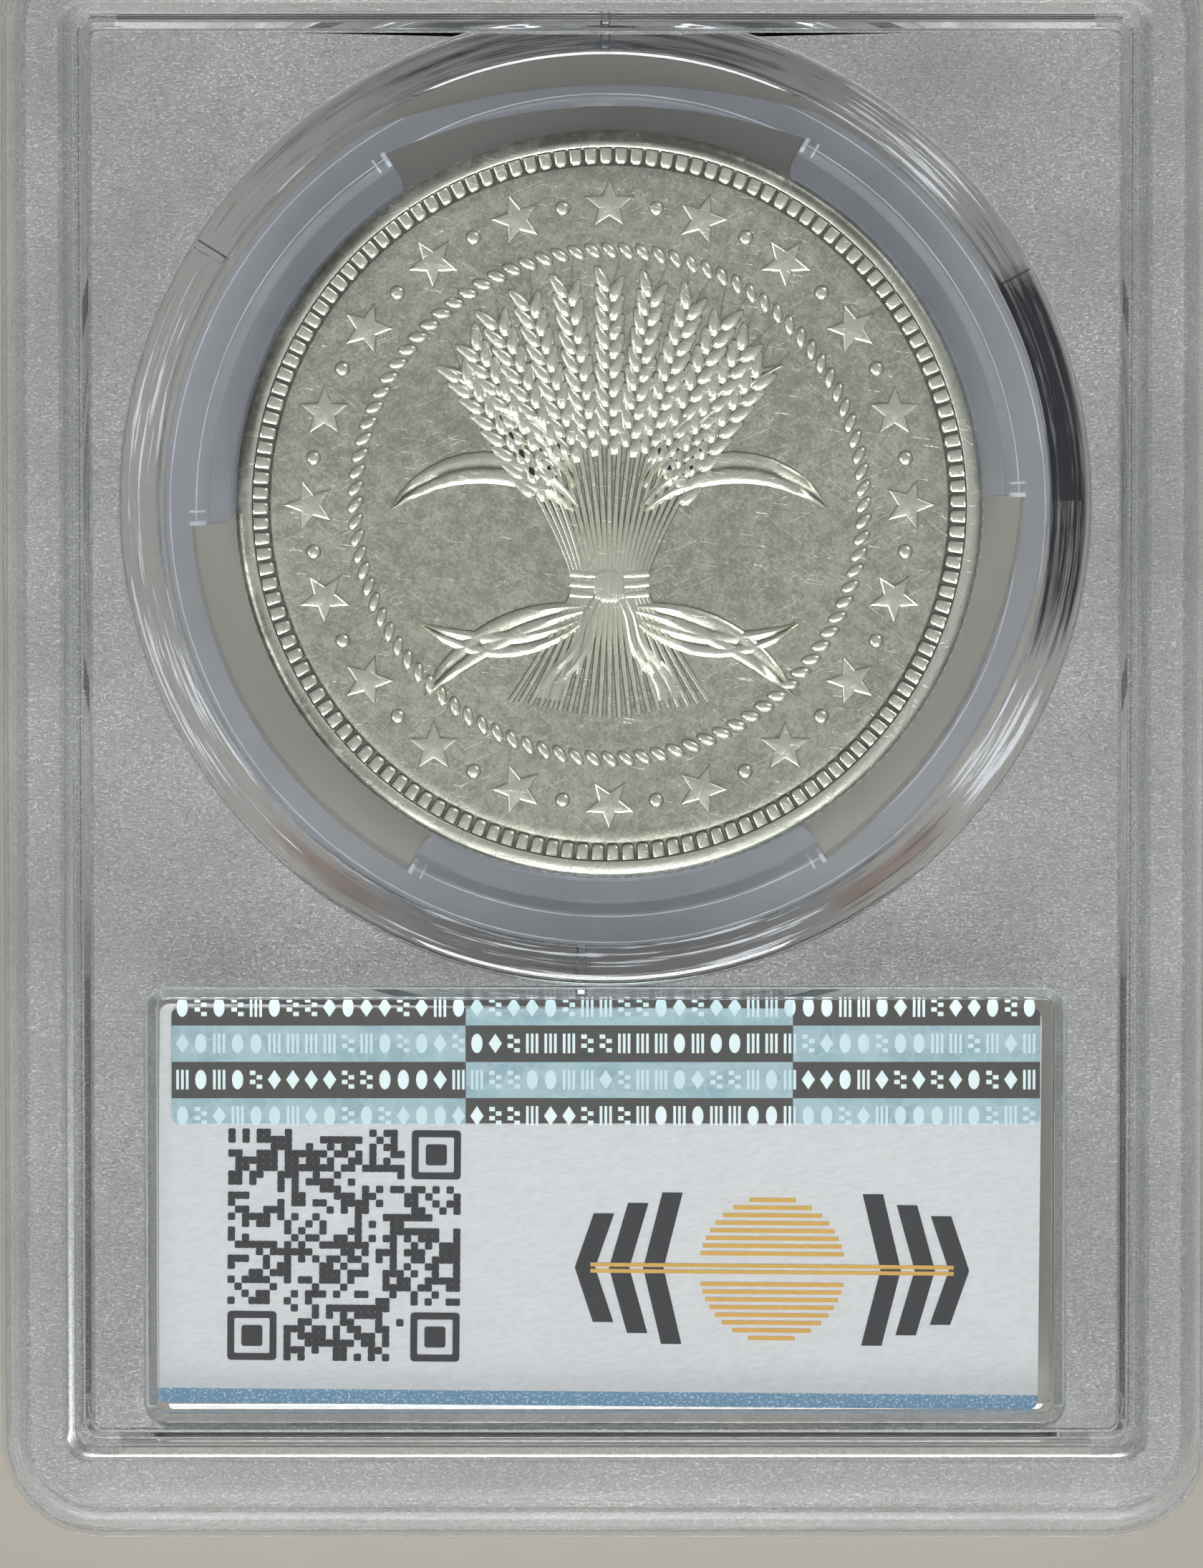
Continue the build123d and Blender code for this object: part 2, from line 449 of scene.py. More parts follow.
@dataclass(frozen=True)
class ClearPlastic:
    """Clear moulded plastic, polished in its windows and stippled on its flats, with reflections
    and highlights painted where its window lies over the well wall.
    """

    name: str
    tint: Colour = (0.945, 0.955, 0.957)
    lamp_share: float = 0.885
    ior: float = 1.585
    polish: float = 0.02
    wall_roughness: float = 0.26
    wall_levels: Pair = (2.3, 6.35)
    wall_body: float = 0.38
    groove_levels: Pair = (6.95, 7.66)
    groove_body: float = 0.32
    stipple_roughness: float = 0.42
    stipple_body: float = 0.62
    stipple_high: Colour = linear(184, 187, 185)
    stipple_low: Colour = linear(138, 141, 140)
    # Painted shade in the stipple's pits.
    painted_pit_shade: Colour = linear(98, 100, 100)
    # Painted glints: the colour of the stipple's bright dashes and specks.
    painted_glint_colour: Colour = linear(246, 248, 246)
    stippled_from: float = 7.74
    stippled_to: float = 8.3
    well_centre: Pair = (0.0, 11.8)
    rim_inside: Pair = (24.8, 36.9)
    rim_outside: Pair = (30.2, 40.8)
    lens_level: float = 7.6
    lens_middle: float = 23.55
    lens_half: float = 0.95
    lens_depth: float = 0.22
    # Painted reflections: colours that stand in for the surroundings seen through the window over
    # the well wall.
    painted_reflection_dark: Colour = linear(16, 18, 28)
    painted_reflection_blue: Colour = linear(104, 110, 132)
    painted_reflection_cool: Colour = (0.84, 0.90, 0.99)
    painted_highlight_pale: Colour = linear(236, 240, 246)
    painted_reflection_warm: Colour = linear(168, 104, 62)
    # Directions of the painted dark reflections, the painted highlights and the painted warm
    # reflections.
    painted_dark_zones: tuple[Zone, ...] = (
        (-10.0, 28.5, 3.5, 1.0), (66.0, 117.0, 10.0, 0.42), (344.0, 370.0, 6.0, 0.8),
        (124.0, 146.0, 9.0, 0.2))
    painted_highlight_zones: tuple[Zone, ...] = (
        (39.0, 60.0, 6.0, 1.0), (192.0, 220.0, 9.0, 1.0), (318.0, 336.0, 6.0, 1.0),
        (242.0, 298.0, 8.0, 0.6), (130.0, 228.0, 12.0, 0.55))
    painted_warm_zones: tuple[Zone, ...] = ((225.0, 241.0, 4.0, 1.0), (299.0, 316.0, 4.0, 1.0))

    def material(self) -> Material:
        """Build the plastic's material.

        Returns:
            The material, which lamps shine through.
        """
        g = Graph(self.name)
        x, y, z = g.axes((*self.well_centre, 0.0))
        reach = (x ** 2.0 + y ** 2.0).root()
        stipple = z.between(self.stippled_from, self.stippled_to, 0.03)
        aside = abs(x).rise(self.rim_inside[0], self.rim_inside[0] + 0.05)
        along = abs(y + self.well_centre[1]).rise(self.rim_inside[1], self.rim_inside[1] + 0.05)
        outside = abs(x).rise(self.rim_outside[0] - 0.3, self.rim_outside[0]).most(
            abs(y + self.well_centre[1]).rise(self.rim_outside[1] - 0.3, self.rim_outside[1]))
        rim = aside.most(along)
        walls = z.between(*self.wall_levels, 0.03) * rim * (1.0 - outside * 0.85)
        groove = z.between(*self.groove_levels, 0.05) * rim * (1.0 - outside)
        body, height = self._stippling(g)
        # pale is the share of painted highlight over the well wall.
        colour, pale = self._paint_lens_reflections(g, reach, y.bearing(x), z)
        wave = g.noise((16.0, 24.0, 16.0), detail=1.0)
        fine = g.noise((1.6, 1.6, 1.6), detail=2.0)
        rough = (stipple * (self.stipple_roughness - self.polish)
                 + walls * (self.wall_roughness - self.polish) + self.polish)
        smooth = g.bump(wave * 0.6 + fine * 0.02, 0.03)
        grains = g.bump(height * stipple, 0.04, smooth)
        normal = g.bump(self._lens(reach, z), self.lens_depth, grains)
        clear = g.shader(colour, rough, normal, IOR=self.ior, Transmission_Weight=1.0)
        # The frost body also carries the painted highlights over the well wall.
        frost = g.shader(g.mixed(body, self.painted_highlight_pale, pale), 0.5, g.bump(height, 0.05))
        share = (stipple * self.stipple_body + walls * self.wall_body + groove * self.groove_body
                 + pale * 0.8)
        return lit_through(g, clear, frost, share, self.lamp_share)

    def _paint_lens_reflections(self, g: Graph, reach: Term, bearing: Term,
                      z: Term) -> tuple[Socket, Term]:
        """Paint reflections into the window where the well wall ends under it, dark and pale in
        turn.

        Args:
            g: The material's graph.
            reach: The distance from the well's middle.
            bearing: The direction from the well's middle, in degrees.
            z: The height.

        Returns:
            The plastic's colour with its painted reflections, and the share of painted highlight
            at each place.
        """
        off = (reach - self.lens_middle) / self.lens_half
        ring = self._window(z) * off.between(-1.0, 0.86, 0.12)
        around = g.node("ShaderNodeCombineXYZ", None, {0: bearing / 20.0, 1: off * 4.2, 2: 4.0})
        streak = g.term("ShaderNodeTexNoise", None, {
            "Vector": around.outputs[0], "Scale": 1.0, "Detail": 3.0, "Roughness": 0.66})
        # Painted dark reflections, painted highlights and painted warm reflections, by direction.
        dark_reflection = bearing.zones(self.painted_dark_zones)
        light = bearing.zones(self.painted_highlight_zones)
        reflection_tone = (streak - 0.5) * 2.0 + 0.52 + light * 0.32 - dark_reflection * 0.55
        warm_reflection = bearing.zones(self.painted_warm_zones) * off.between(-0.35, 0.4, 0.15)
        warm_reflection = (warm_reflection * (streak * 1.6 - 0.2) * ring).least(0.85)
        colour = g.mixed(self.tint, self.painted_reflection_cool, ring)
        colour = g.mixed(colour, self.painted_reflection_blue, reflection_tone.rise(0.52, 0.25) * ring * 0.8)
        colour = g.mixed(colour, self.painted_reflection_dark, reflection_tone.rise(0.30, 0.0) * ring)
        return g.mixed(colour, self.painted_reflection_warm, warm_reflection), reflection_tone.rise(0.74, 1.0) * ring

    def _lens(self, reach: Term, z: Term) -> Term:
        """Crown the window over the well wall, so that it bends light like a rounded bead."""
        off = (reach - self.lens_middle) / self.lens_half
        return (1.0 - off ** 2.0).most(0.0) * self._window(z)

    def _window(self, z: Term) -> Term:
        """Mask the height of the window's face."""
        return z.between(self.lens_level - 0.06, self.lens_level + 0.06, 0.02)

    def _stippling(self, g: Graph) -> tuple[Socket, Term]:
        """Scatter the stipple's grains, bright dashes and specks painted as glints, and pits
        darkened with painted shade.

        Args:
            g: The material's graph.

        Returns:
            The stipple's colour and its height.
        """
        grain = g.noise((0.17, 0.11, 0.2), detail=2.0, roughness=0.7)
        coarse = g.noise((0.42, 0.24, 0.4), detail=2.0)
        cloud = g.noise((10.0, 6.0, 9.0), detail=2.0)
        dashes = g.noise((0.25, 0.10, 0.3), detail=1.0).rise(0.60, 0.68)
        glint_specks = g.noise((0.14, 0.11, 0.2), detail=0.0).rise(0.66, 0.74)
        pits = g.noise((0.18, 0.12, 0.2), detail=1.0, turn=8.0).rise(0.60, 0.68)
        body = g.mixed(self.stipple_low, self.stipple_high,
                       (grain * 0.9 + coarse * 0.3 + cloud * 0.3).rise(0.55, 0.98))
        # Painted shade darkens the pits.
        body = g.mixed(body, self.painted_pit_shade, pits * 0.55)
        # Painted glints: bright dashes and specks laid over the stipple.
        body = g.mixed(body, self.painted_glint_colour, (dashes.most(glint_specks) * (cloud * 1.3)).least(1.0))
        return body, grain * 0.6 + dashes * 0.4 - pits * 0.2


def lit_through(g: Graph, clear: Socket, cloudy: Socket,
                cloud: Term, share: float) -> Material:
    """Finish a plastic that is partly clear, and let lamps shine through it.

    Args:
        g: The material's graph.
        clear: The clear shader.
        cloudy: The cloudy shader.
        cloud: How cloudy each place is.
        share: The lamps' light that passes each face.

    Returns:
        The finished material.
    """
    faces = g.node("ShaderNodeMixShader", None, {0: cloud, 1: clear, 2: cloudy}).outputs[0]
    through = g.node("ShaderNodeBsdfTransparent", None, {"Color": (share,) * 3}).outputs[0]
    path = g.node("ShaderNodeLightPath").outputs["Is Shadow Ray"]
    lit = g.node("ShaderNodeMixShader", None, {0: path, 1: faces, 2: through})
    return g.finish(lit.outputs[0])


@dataclass(frozen=True)
class SoftGel:
    """The gasket's soft, faintly cloudy plastic, with highlights painted along its steps and at
    its prong ends.
    """

    name: str = "gasket_gel"
    tint: Colour = (0.87, 0.89, 0.915)
    haze: Colour = linear(124, 130, 139)
    haze_light: Colour = linear(150, 157, 168)
    # line is the painted highlight colour along the gel's steps and at its prong ends.
    line: Colour = linear(226, 232, 240)
    haze_share: float = 0.24
    clear_inside: float = 18.95
    centre: Pair = (0.12, 11.5)
    painted_highlight_reaches: tuple[float, ...] = (19.3, 20.2, 20.93, 22.25)
    prong_middles: tuple[float, ...] = (31.5, 152.5, 271.5)
    prong_half: float = 30.25
    lamp_share: float = 0.90
    ior: float = 1.44

    def material(self) -> Material:
        """Build the gel's material.

        Returns:
            The material, which lamps shine through.
        """
        g = Graph(self.name)
        cloud = g.noise((2.5, 2.5, 2.5), detail=2.0)
        fine = g.noise((0.25, 0.25, 0.25), detail=2.0)
        x, y, z = g.axes((*self.centre, 0.0))
        reach = (x ** 2.0 + y ** 2.0).root() + cloud * 0.05
        # lines: painted highlights along the ring's steps and at the prongs' ends.
        lines = Term(g, 0.0)
        for at in self.painted_highlight_reaches:
            lines = reach.between(at - 0.035, at + 0.035, 0.03).most(lines)
        bearing = y.bearing(x)
        for middle in self.prong_middles:
            aside = abs(bearing - middle)
            end = aside.between(self.prong_half - 0.7, self.prong_half, 0.15).most(
                aside.between(self.prong_half - 2.2, self.prong_half - 1.8, 0.15))
            lines = (end * reach.rise(21.4, 21.2)).most(lines)
        lines = lines * z.rise(5.9, 6.1) * (0.35 + cloud * 0.6)
        clear = g.shader(self.tint, 0.05 + cloud * 0.08, g.bump(fine, 0.004), IOR=self.ior,
                         Transmission_Weight=1.0)
        cloudy = g.mixed(self.haze, self.haze_light, cloud)
        # The painted highlight lines are laid into the haze.
        haze = g.shader(g.mixed(cloudy, self.line, lines), 0.45)
        haze_share = self.haze_share * reach.rise(self.clear_inside, self.clear_inside + 0.3)
        share = (haze_share * (0.7 + cloud * 0.6)).most(lines * 0.9)
        return lit_through(g, clear, haze, share, self.lamp_share)


@dataclass(frozen=True)
class StruckSilver:
    """Struck silver, bright on its high places, with painted shade low down and in the bead
    channel, and toning at the rim that is made darker towards the top-left as painted shade.
    """

    name: str
    centre: Pair
    field_level: float
    depth: float
    foot_shade: float = 0.0
    bead_channel: Pair = (17.23, 18.12)
    rim_from: float = 18.2
    bright: Colour = linear(244, 243, 228)
    body: Colour = linear(238, 238, 217)
    dull: Colour = linear(172, 174, 159)
    # Rim toning, also used as painted shade at the foot of the relief.
    toning_and_shade: Colour = linear(88, 81, 66)
    # Painted shade in the channel between the beads.
    dark: Colour = linear(70, 62, 50)

    def material(self) -> Material:
        """Build the silver's material.

        Returns:
            The material.
        """
        g = Graph(self.name)
        x, y, z = g.axes((*self.centre, 0.0))
        reach = (x ** 2.0 + y ** 2.0).root()
        level = abs(z - self.field_level) / self.depth
        granular = g.noise((0.15, 0.15, 0.15), detail=4.0, roughness=0.7)
        blotch = g.noise((0.9, 0.8, 0.9), detail=6.0, roughness=0.75)
        drift = g.noise((8.0, 6.0, 8.0), detail=2.0)
        marks = self._hairlines(g)
        worn = (level * 0.7 + granular * 0.6 - 0.15).rise(0.0, 1.0)
        colour = g.mixed(self.body, self.bright, worn)
        gathered = (blotch * 0.7 + granular * 0.8 + drift * 0.2).rise(0.70, 1.0)
        colour = g.mixed(colour, self.dull, (1.0 - level).rise(0.2, 0.9) * gathered * 0.9)
        colour = g.mixed(colour, self.bright, marks * 0.5)
        # Painted shade: each relief piece grows darker towards its foot.
        foot = (1.0 - level).rise(0.38, 0.9) * self.foot_shade
        colour = g.mixed(colour, self.toning_and_shade, foot)
        # Painted shade in the channel between the beads.
        channel = reach.between(*self.bead_channel, 0.03) * (1.0 - level).rise(0.4, 0.9)
        colour = g.mixed(colour, self.dark, channel * (0.5 + blotch * 0.5))
        # Rim toning in patches, made stronger towards the top-left as painted shade.
        rim = reach.rise(self.rim_from, self.rim_from + 0.40)
        patches = (drift * 0.9 + blotch * 0.6).rise(0.4, 0.9)
        painted_top_shade = ((y - x) * 0.7).rise(-14.0, 6.0)
        colour = g.mixed(colour, self.toning_and_shade, rim * patches * painted_top_shade * 0.9)
        rough = (0.20 + granular * 0.2 - marks * 0.08).most(0.12)
        height = granular * 0.5 + blotch * 0.05 - marks * 0.2
        return g.finish(g.shader(colour, rough, g.bump(height, 0.02), Metallic=1.0))

    @staticmethod
    def _hairlines(g: Graph) -> Term:
        """Draw fine handling scratches and short nicks that run several ways.

        Args:
            g: The material's graph.

        Returns:
            The scratches, which are 1.
        """
        found = Term(g, 0.0)
        for turn, length, grain in ((24.0, 5.0, 0.05), (71.0, 3.6, 0.05), (-38.0, 4.4, 0.05),
                                    (-8.0, 2.6, 0.06)):
            lines = g.noise((length, grain, length), detail=0.0, turn=turn).rise(0.77, 0.81)
            found = lines.most(found)
        return found


@dataclass(frozen=True)
class CardStock:
    """Coated card, cool white with faint flecks, and a printed band along one edge."""

    name: str = "card_stock"
    centre: Pair = (-0.32, -24.45)
    turn: float = -0.5
    band_from: float = -10.25
    band_to: float = -9.5
    white: Colour = linear(195, 197, 198)
    shade: Colour = linear(186, 188, 189)
    fleck: Colour = linear(206, 196, 142)
    band: Colour = linear(95, 136, 164)
    band_light: Colour = linear(168, 193, 205)

    def material(self) -> Material:
        """Build the card's material.

        Returns:
            The material.
        """
        g = Graph(self.name)
        x, y, _ = g.axes((*self.centre, 0.0))
        lean = math.radians(self.turn)
        across = y * math.cos(lean) - x * math.sin(lean)
        fibre = g.noise((0.5, 0.16, 0.5), detail=3.0, turn=12.0)
        spots = g.cells((0.42, 0.42, 0.42)).rise(0.11, 0.07)
        some = g.noise((0.9, 0.9, 0.9), detail=0.0).rise(0.55, 0.62)
        paper = g.mixed(self.shade, self.white, fibre.rise(0.3, 0.7))
        paper = g.mixed(paper, self.fleck, spots * some * 0.55)
        dots = g.noise((0.12, 0.12, 0.12), detail=1.0).rise(0.56, 0.66)
        band = g.mixed(self.band, self.band_light, dots)
        colour = g.mixed(paper, band, across.between(self.band_from - 1.0, self.band_to, 0.02))
        return g.finish(g.shader(colour, 0.55 + fibre * 0.1, g.bump(fibre, 0.006)))


@dataclass(frozen=True)
class Ink:
    """Printing ink with the faint mottle of the card under it."""

    name: str
    full: Colour
    thin: Colour

    def material(self) -> Material:
        """Build the ink's material.

        Returns:
            The material.
        """
        g = Graph(self.name)
        mottle = g.noise((0.14, 0.14, 0.14), detail=2.0)
        colour = g.mixed(self.full, self.thin, mottle.rise(0.5, 0.85))
        return g.finish(g.shader(colour, 0.5 + mottle * 0.12, g.bump(mottle, 0.004)))


@dataclass(frozen=True)
class PatternFoil:
    """Security foil in four rows of dark and pale blue fields."""

    name: str = "pattern_foil"
    centre: Pair = (0.02, -17.2)
    width: float = 44.4
    rows: tuple[float, float, float] = (2.07, 0.2, -1.66)
    columns: Pair = (-7.17, 9.56)
    dark: Colour = linear(70, 70, 66)
    pale: Colour = linear(160, 188, 192)
    sheen: Colour = linear(140, 168, 178)
    vein: Colour = linear(168, 194, 198)
    bright_mark: Colour = linear(214, 228, 229)
    faint_mark: Colour = linear(188, 212, 215)

    def dark_fields(self, g: Graph) -> Term:
        """Tell the dark fields, which are 1, from the blue ones.

        Args:
            g: The material's graph.

        Returns:
            The mask.
        """
        x, y, _ = g.axes((*self.centre, 0.0))
        stripe = Term(g, 0.0)
        for edge in self.rows:
            stripe = stripe + y.rise(edge - 0.015, edge + 0.015)
        for edge in self.columns:
            stripe = stripe + x.rise(edge - 0.015, edge + 0.015)
        return stripe.with_others("MODULO", 2.0).with_others("ROUND")

    def marks(self) -> Material:
        """Build the material of the marks, bright on the dark fields and faint on the blue.

        Returns:
            The material.
        """
        g = Graph(f"{self.name}_marks")
        mottle = g.noise((0.3, 0.3, 0.3), detail=2.0)
        colour = g.mixed(self.faint_mark, self.bright_mark, self.dark_fields(g))
        return g.finish(g.shader(colour, 0.4 + mottle * 0.1, g.bump(mottle, 0.004)))

    def material(self) -> Material:
        """Build the foil's material.

        Returns:
            The material.
        """
        g = Graph(self.name)
        odd = self.dark_fields(g)
        cloud = g.noise((2.4, 1.2, 2.4), detail=2.0)
        veins = g.cells((1.1, 1.1, 1.1), turn=30.0, feature="DISTANCE_TO_EDGE").rise(0.10, 0.02)
        blue = g.mixed(self.pale, self.sheen, cloud.rise(0.35, 0.7))
        blue = g.mixed(blue, self.vein, veins * 0.5)
        colour = g.mixed(blue, self.dark, odd)
        return g.finish(g.shader(colour, 0.34 + cloud * 0.12, g.bump(cloud, 0.01), Metallic=0.25))


# ---------------------------------------------------------------- meshes


@dataclass
class Form:
    """Points in millimetres and the faces that join them."""

    points: list[Point] = field(default_factory=list)
    faces: list[tuple[int, ...]] = field(default_factory=list)

    def add(self, other: "Form") -> None:
        """Add another form's points and faces to this one.

        Args:
            other: The other form.
        """
        first = len(self.points)
        self.points.extend(other.points)
        self.faces.extend(tuple(first + i for i in face) for face in other.faces)

    def moved(self, change: Matrix) -> "Form":
        """Give a copy changed by a matrix, turned inside out again where the matrix mirrors it.

        Args:
            change: The matrix.

        Returns:
            The changed copy.
        """
        points = [tuple(change @ Vector(p)) for p in self.points]
        mirrored = change.to_3x3().determinant() < 0
        faces = [tuple(reversed(f)) if mirrored else f for f in self.faces]
        return Form(points, faces)

    def mesh(self, name: str, sharp: float = 35.0) -> Mesh:
        """Write the form as a smooth mesh in metres.

        Args:
            name: The mesh's name.
            sharp: The angle in degrees past which an edge stays sharp.

        Returns:
            The mesh.
        """
        made = bpy.data.meshes.new(name)
        made.from_pydata([tuple(c * MM for c in p) for p in self.points], [], self.faces)
        made.validate()
        made.polygons.foreach_set("use_smooth", [True] * len(made.polygons))
        made.set_sharp_from_angle(angle=math.radians(sharp))
        return made


def stacked(outlines: list[Outline], levels: list[float]) -> Form:
    """Stack outlines of equal length into a closed form, lowest first.

    Args:
        outlines: The outlines, each anticlockwise seen from above.
        levels: The height of each.

    Returns:
        The closed form.
    """
    count = len(outlines[0])
    made = Form()
    for outline, level in zip(outlines, levels, strict=True):
        made.points.extend((x, y, level) for x, y in outline)
    for row in range(len(outlines) - 1):
        low, high = row * count, (row + 1) * count
        for i in range(count):
            after = (i + 1) % count
            made.faces.append((low + i, low + after, high + after, high + i))
    made.faces.append(tuple(reversed(range(count))))
    made.faces.append(tuple(range((len(outlines) - 1) * count, len(outlines) * count)))
    return made


def printed(outline: Outline, height: float) -> Form:
    """Raise an outline to the height of a print, with its foot just under the ground."""
    return stacked([outline, outline], [PRINT_FOOT, height])


def hollow(outer: Outline, inner: Outline, height: float) -> Form:
    """Raise a low closed frame between two outlines of equal length.

    Args:
        outer: The outer outline, anticlockwise seen from above.
        inner: The inner outline.
        height: The frame's height.

    Returns:
        The frame.
    """
    count = len(outer)
    made = Form([(x, y, z) for z in (PRINT_FOOT, height)
                 for line in (outer, inner) for x, y in line])
    for i in range(count):
        after = (i + 1) % count
        for low, high in ((0, 2), (2, 3), (3, 1), (1, 0)):
            made.faces.append((low * count + i, low * count + after,
                               high * count + after, high * count + i))
    return made


def oblong(x: float, y: float, half_x: float, half_y: float) -> Outline:
    """Give the corners of an oblong about x, y, anticlockwise from its lowest."""
    return [(x - half_x, y - half_y), (x + half_x, y - half_y), (x + half_x, y + half_y),
            (x - half_x, y + half_y)]


def oval(half_x: float, half_y: float, count: int) -> Outline:
    """Give the points of an oval about 0, 0, anticlockwise from its +x end."""
    turns = [math.tau * i / count for i in range(count)]
    return [(half_x * math.cos(turn), half_y * math.sin(turn)) for turn in turns]


def scaled(outline: Outline, share: float,
           about: Pair = (0.0, 0.0)) -> Outline:
    """Scale an outline about a point."""
    return [(about[0] + (x - about[0]) * share, about[1] + (y - about[1]) * share)
            for x, y in outline]


def ridge(path: Outline, widths: list[float], heights: list[float],
          crease: float = 0.0, sink: float = 0.05) -> Form:
    """Raise a closed ridge along a path, such as a stalk, a leaf or a ribbon.

    Args:
        path: The middle line's points.
        widths: The full width at each point.
        heights: The height at each point.
        crease: How far the middle dips, as a share of the height.
        sink: How far the foot lies under the ground.

    Returns:
        The ridge.
    """
    made = Form()
    shares = ((-1.0, -sink, 0.0), (-0.86, 0.0, 0.55), (-0.45, 0.0, 1.0), (0.0, 0.0, 1.0 - crease),
              (0.45, 0.0, 1.0), (0.86, 0.0, 0.55), (1.0, -sink, 0.0))
    for i, (x, y) in enumerate(path):
        before, after = path[max(i - 1, 0)], path[min(i + 1, len(path) - 1)]
        along = Vector((after[0] - before[0], after[1] - before[1])).normalized()
        for side, drop, rise in shares:
            reach = side * widths[i] / 2
            made.points.append(
                (x - along.y * reach, y + along.x * reach, drop + rise * heights[i]))
    row = len(shares)
    for i in range(len(path) - 1):
        for j in range(row):
            after = (j + 1) % row
            low, high = i * row, (i + 1) * row
            made.faces.append((low + j, high + j, high + after, low + after))
    last = (len(path) - 1) * row
    made.faces.append(tuple(range(row)))
    made.faces.append(tuple(reversed(range(last, last + row))))
    made.faces = [tuple(reversed(f)) for f in made.faces]
    return made


def revolved(profile: Outline, steps: int) -> Form:
    """Turn a profile of radius and height about the z axis, closed at both poles.

    Args:
        profile: Points from the upper pole, outwards and down, to the lower pole.
        steps: How many steps the turn has.

    Returns:
        The closed form.
    """
    made = Form(points=[(0.0, 0.0, profile[0][1])])
    rings = profile[1:-1]
    for radius, level in rings:
        made.points.extend((x, y, level) for x, y in oval(radius, radius, steps))
    made.points.append((0.0, 0.0, profile[-1][1]))
    last = len(made.points) - 1
    for i in range(steps):
        after = (i + 1) % steps
        made.faces.append((0, 1 + i, 1 + after))
        for ring in range(len(rings) - 1):
            high, low = 1 + ring * steps, 1 + (ring + 1) * steps
            made.faces.append((high + i, low + i, low + after, high + after))
        foot = 1 + (len(rings) - 1) * steps
        made.faces.append((foot + i, last, foot + after))
    return made


def piece(name: str, mesh: Mesh, material: Material, slot: Slot,
          *replaced: str) -> bpy.types.Object:
    """Put a finished mesh in the scene as a piece of the slab.

    Args:
        name: The piece's name.
        mesh: Its mesh, in place.
        material: Its material.
        slot: Not used.
        replaced: The CAD nodes that it stands for.

    Returns:
        The piece.
    """
    mesh.materials.clear()
    mesh.materials.append(material)
    made = bpy.data.objects.new(name, mesh)
    bpy.context.scene.collection.objects.link(made)
    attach(made, BODY)
    if replaced:
        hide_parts(*replaced)
    LOG.info("%s: %d faces", name, len(mesh.polygons))
    return made


def dress(node: str, material: Material) -> None:
    """Give a CAD node its material.

    Args:
        node: The node's name.
        material: Its material.
    """
    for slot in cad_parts[node].material_slots:
        slot.material = material
    LOG.info("%s: dressed", node)


def eased(node: str, width: float, sharp: float = 35.0) -> Mesh:
    """Copy a CAD node with its points merged and its sharp edges rounded.

    Args:
        node: The node's name.
        width: How wide each rounded edge is, in millimetres.
        sharp: The angle in degrees past which an edge is rounded.

    Returns:
        The closed mesh, in place.
    """
    shape = bmesh.new()
    shape.from_mesh(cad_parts[node].data)
    bmesh.ops.remove_doubles(shape, verts=shape.verts, dist=0.002 * MM)
    merged = bpy.data.meshes.new(f"{node}_merged")
    shape.to_mesh(merged)
    shape.free()
    kept = merged.attributes.get("custom_normal")
    if kept:
        merged.attributes.remove(kept)
    merged.polygons.foreach_set("use_smooth", [True] * len(merged.polygons))
    merged.set_sharp_from_angle(angle=math.radians(sharp))
    carrier = bpy.data.objects.new(f"{node}_carrier", merged)
    bpy.context.scene.collection.objects.link(carrier)
    bevel = carrier.modifiers.new("edges", "BEVEL")
    bevel.width = width * MM
    bevel.segments = 2
    bevel.limit_method = "ANGLE"
    bevel.angle_limit = math.radians(sharp)
    bevel.use_clamp_overlap = False
    bevel.loop_slide = False
    bevel.harden_normals = True
    seen = carrier.evaluated_get(bpy.context.evaluated_depsgraph_get())
    mesh = bpy.data.meshes.new_from_object(seen)
    bpy.data.objects.remove(carrier)
    return mesh


# ---------------------------------------------------------------- what repeats


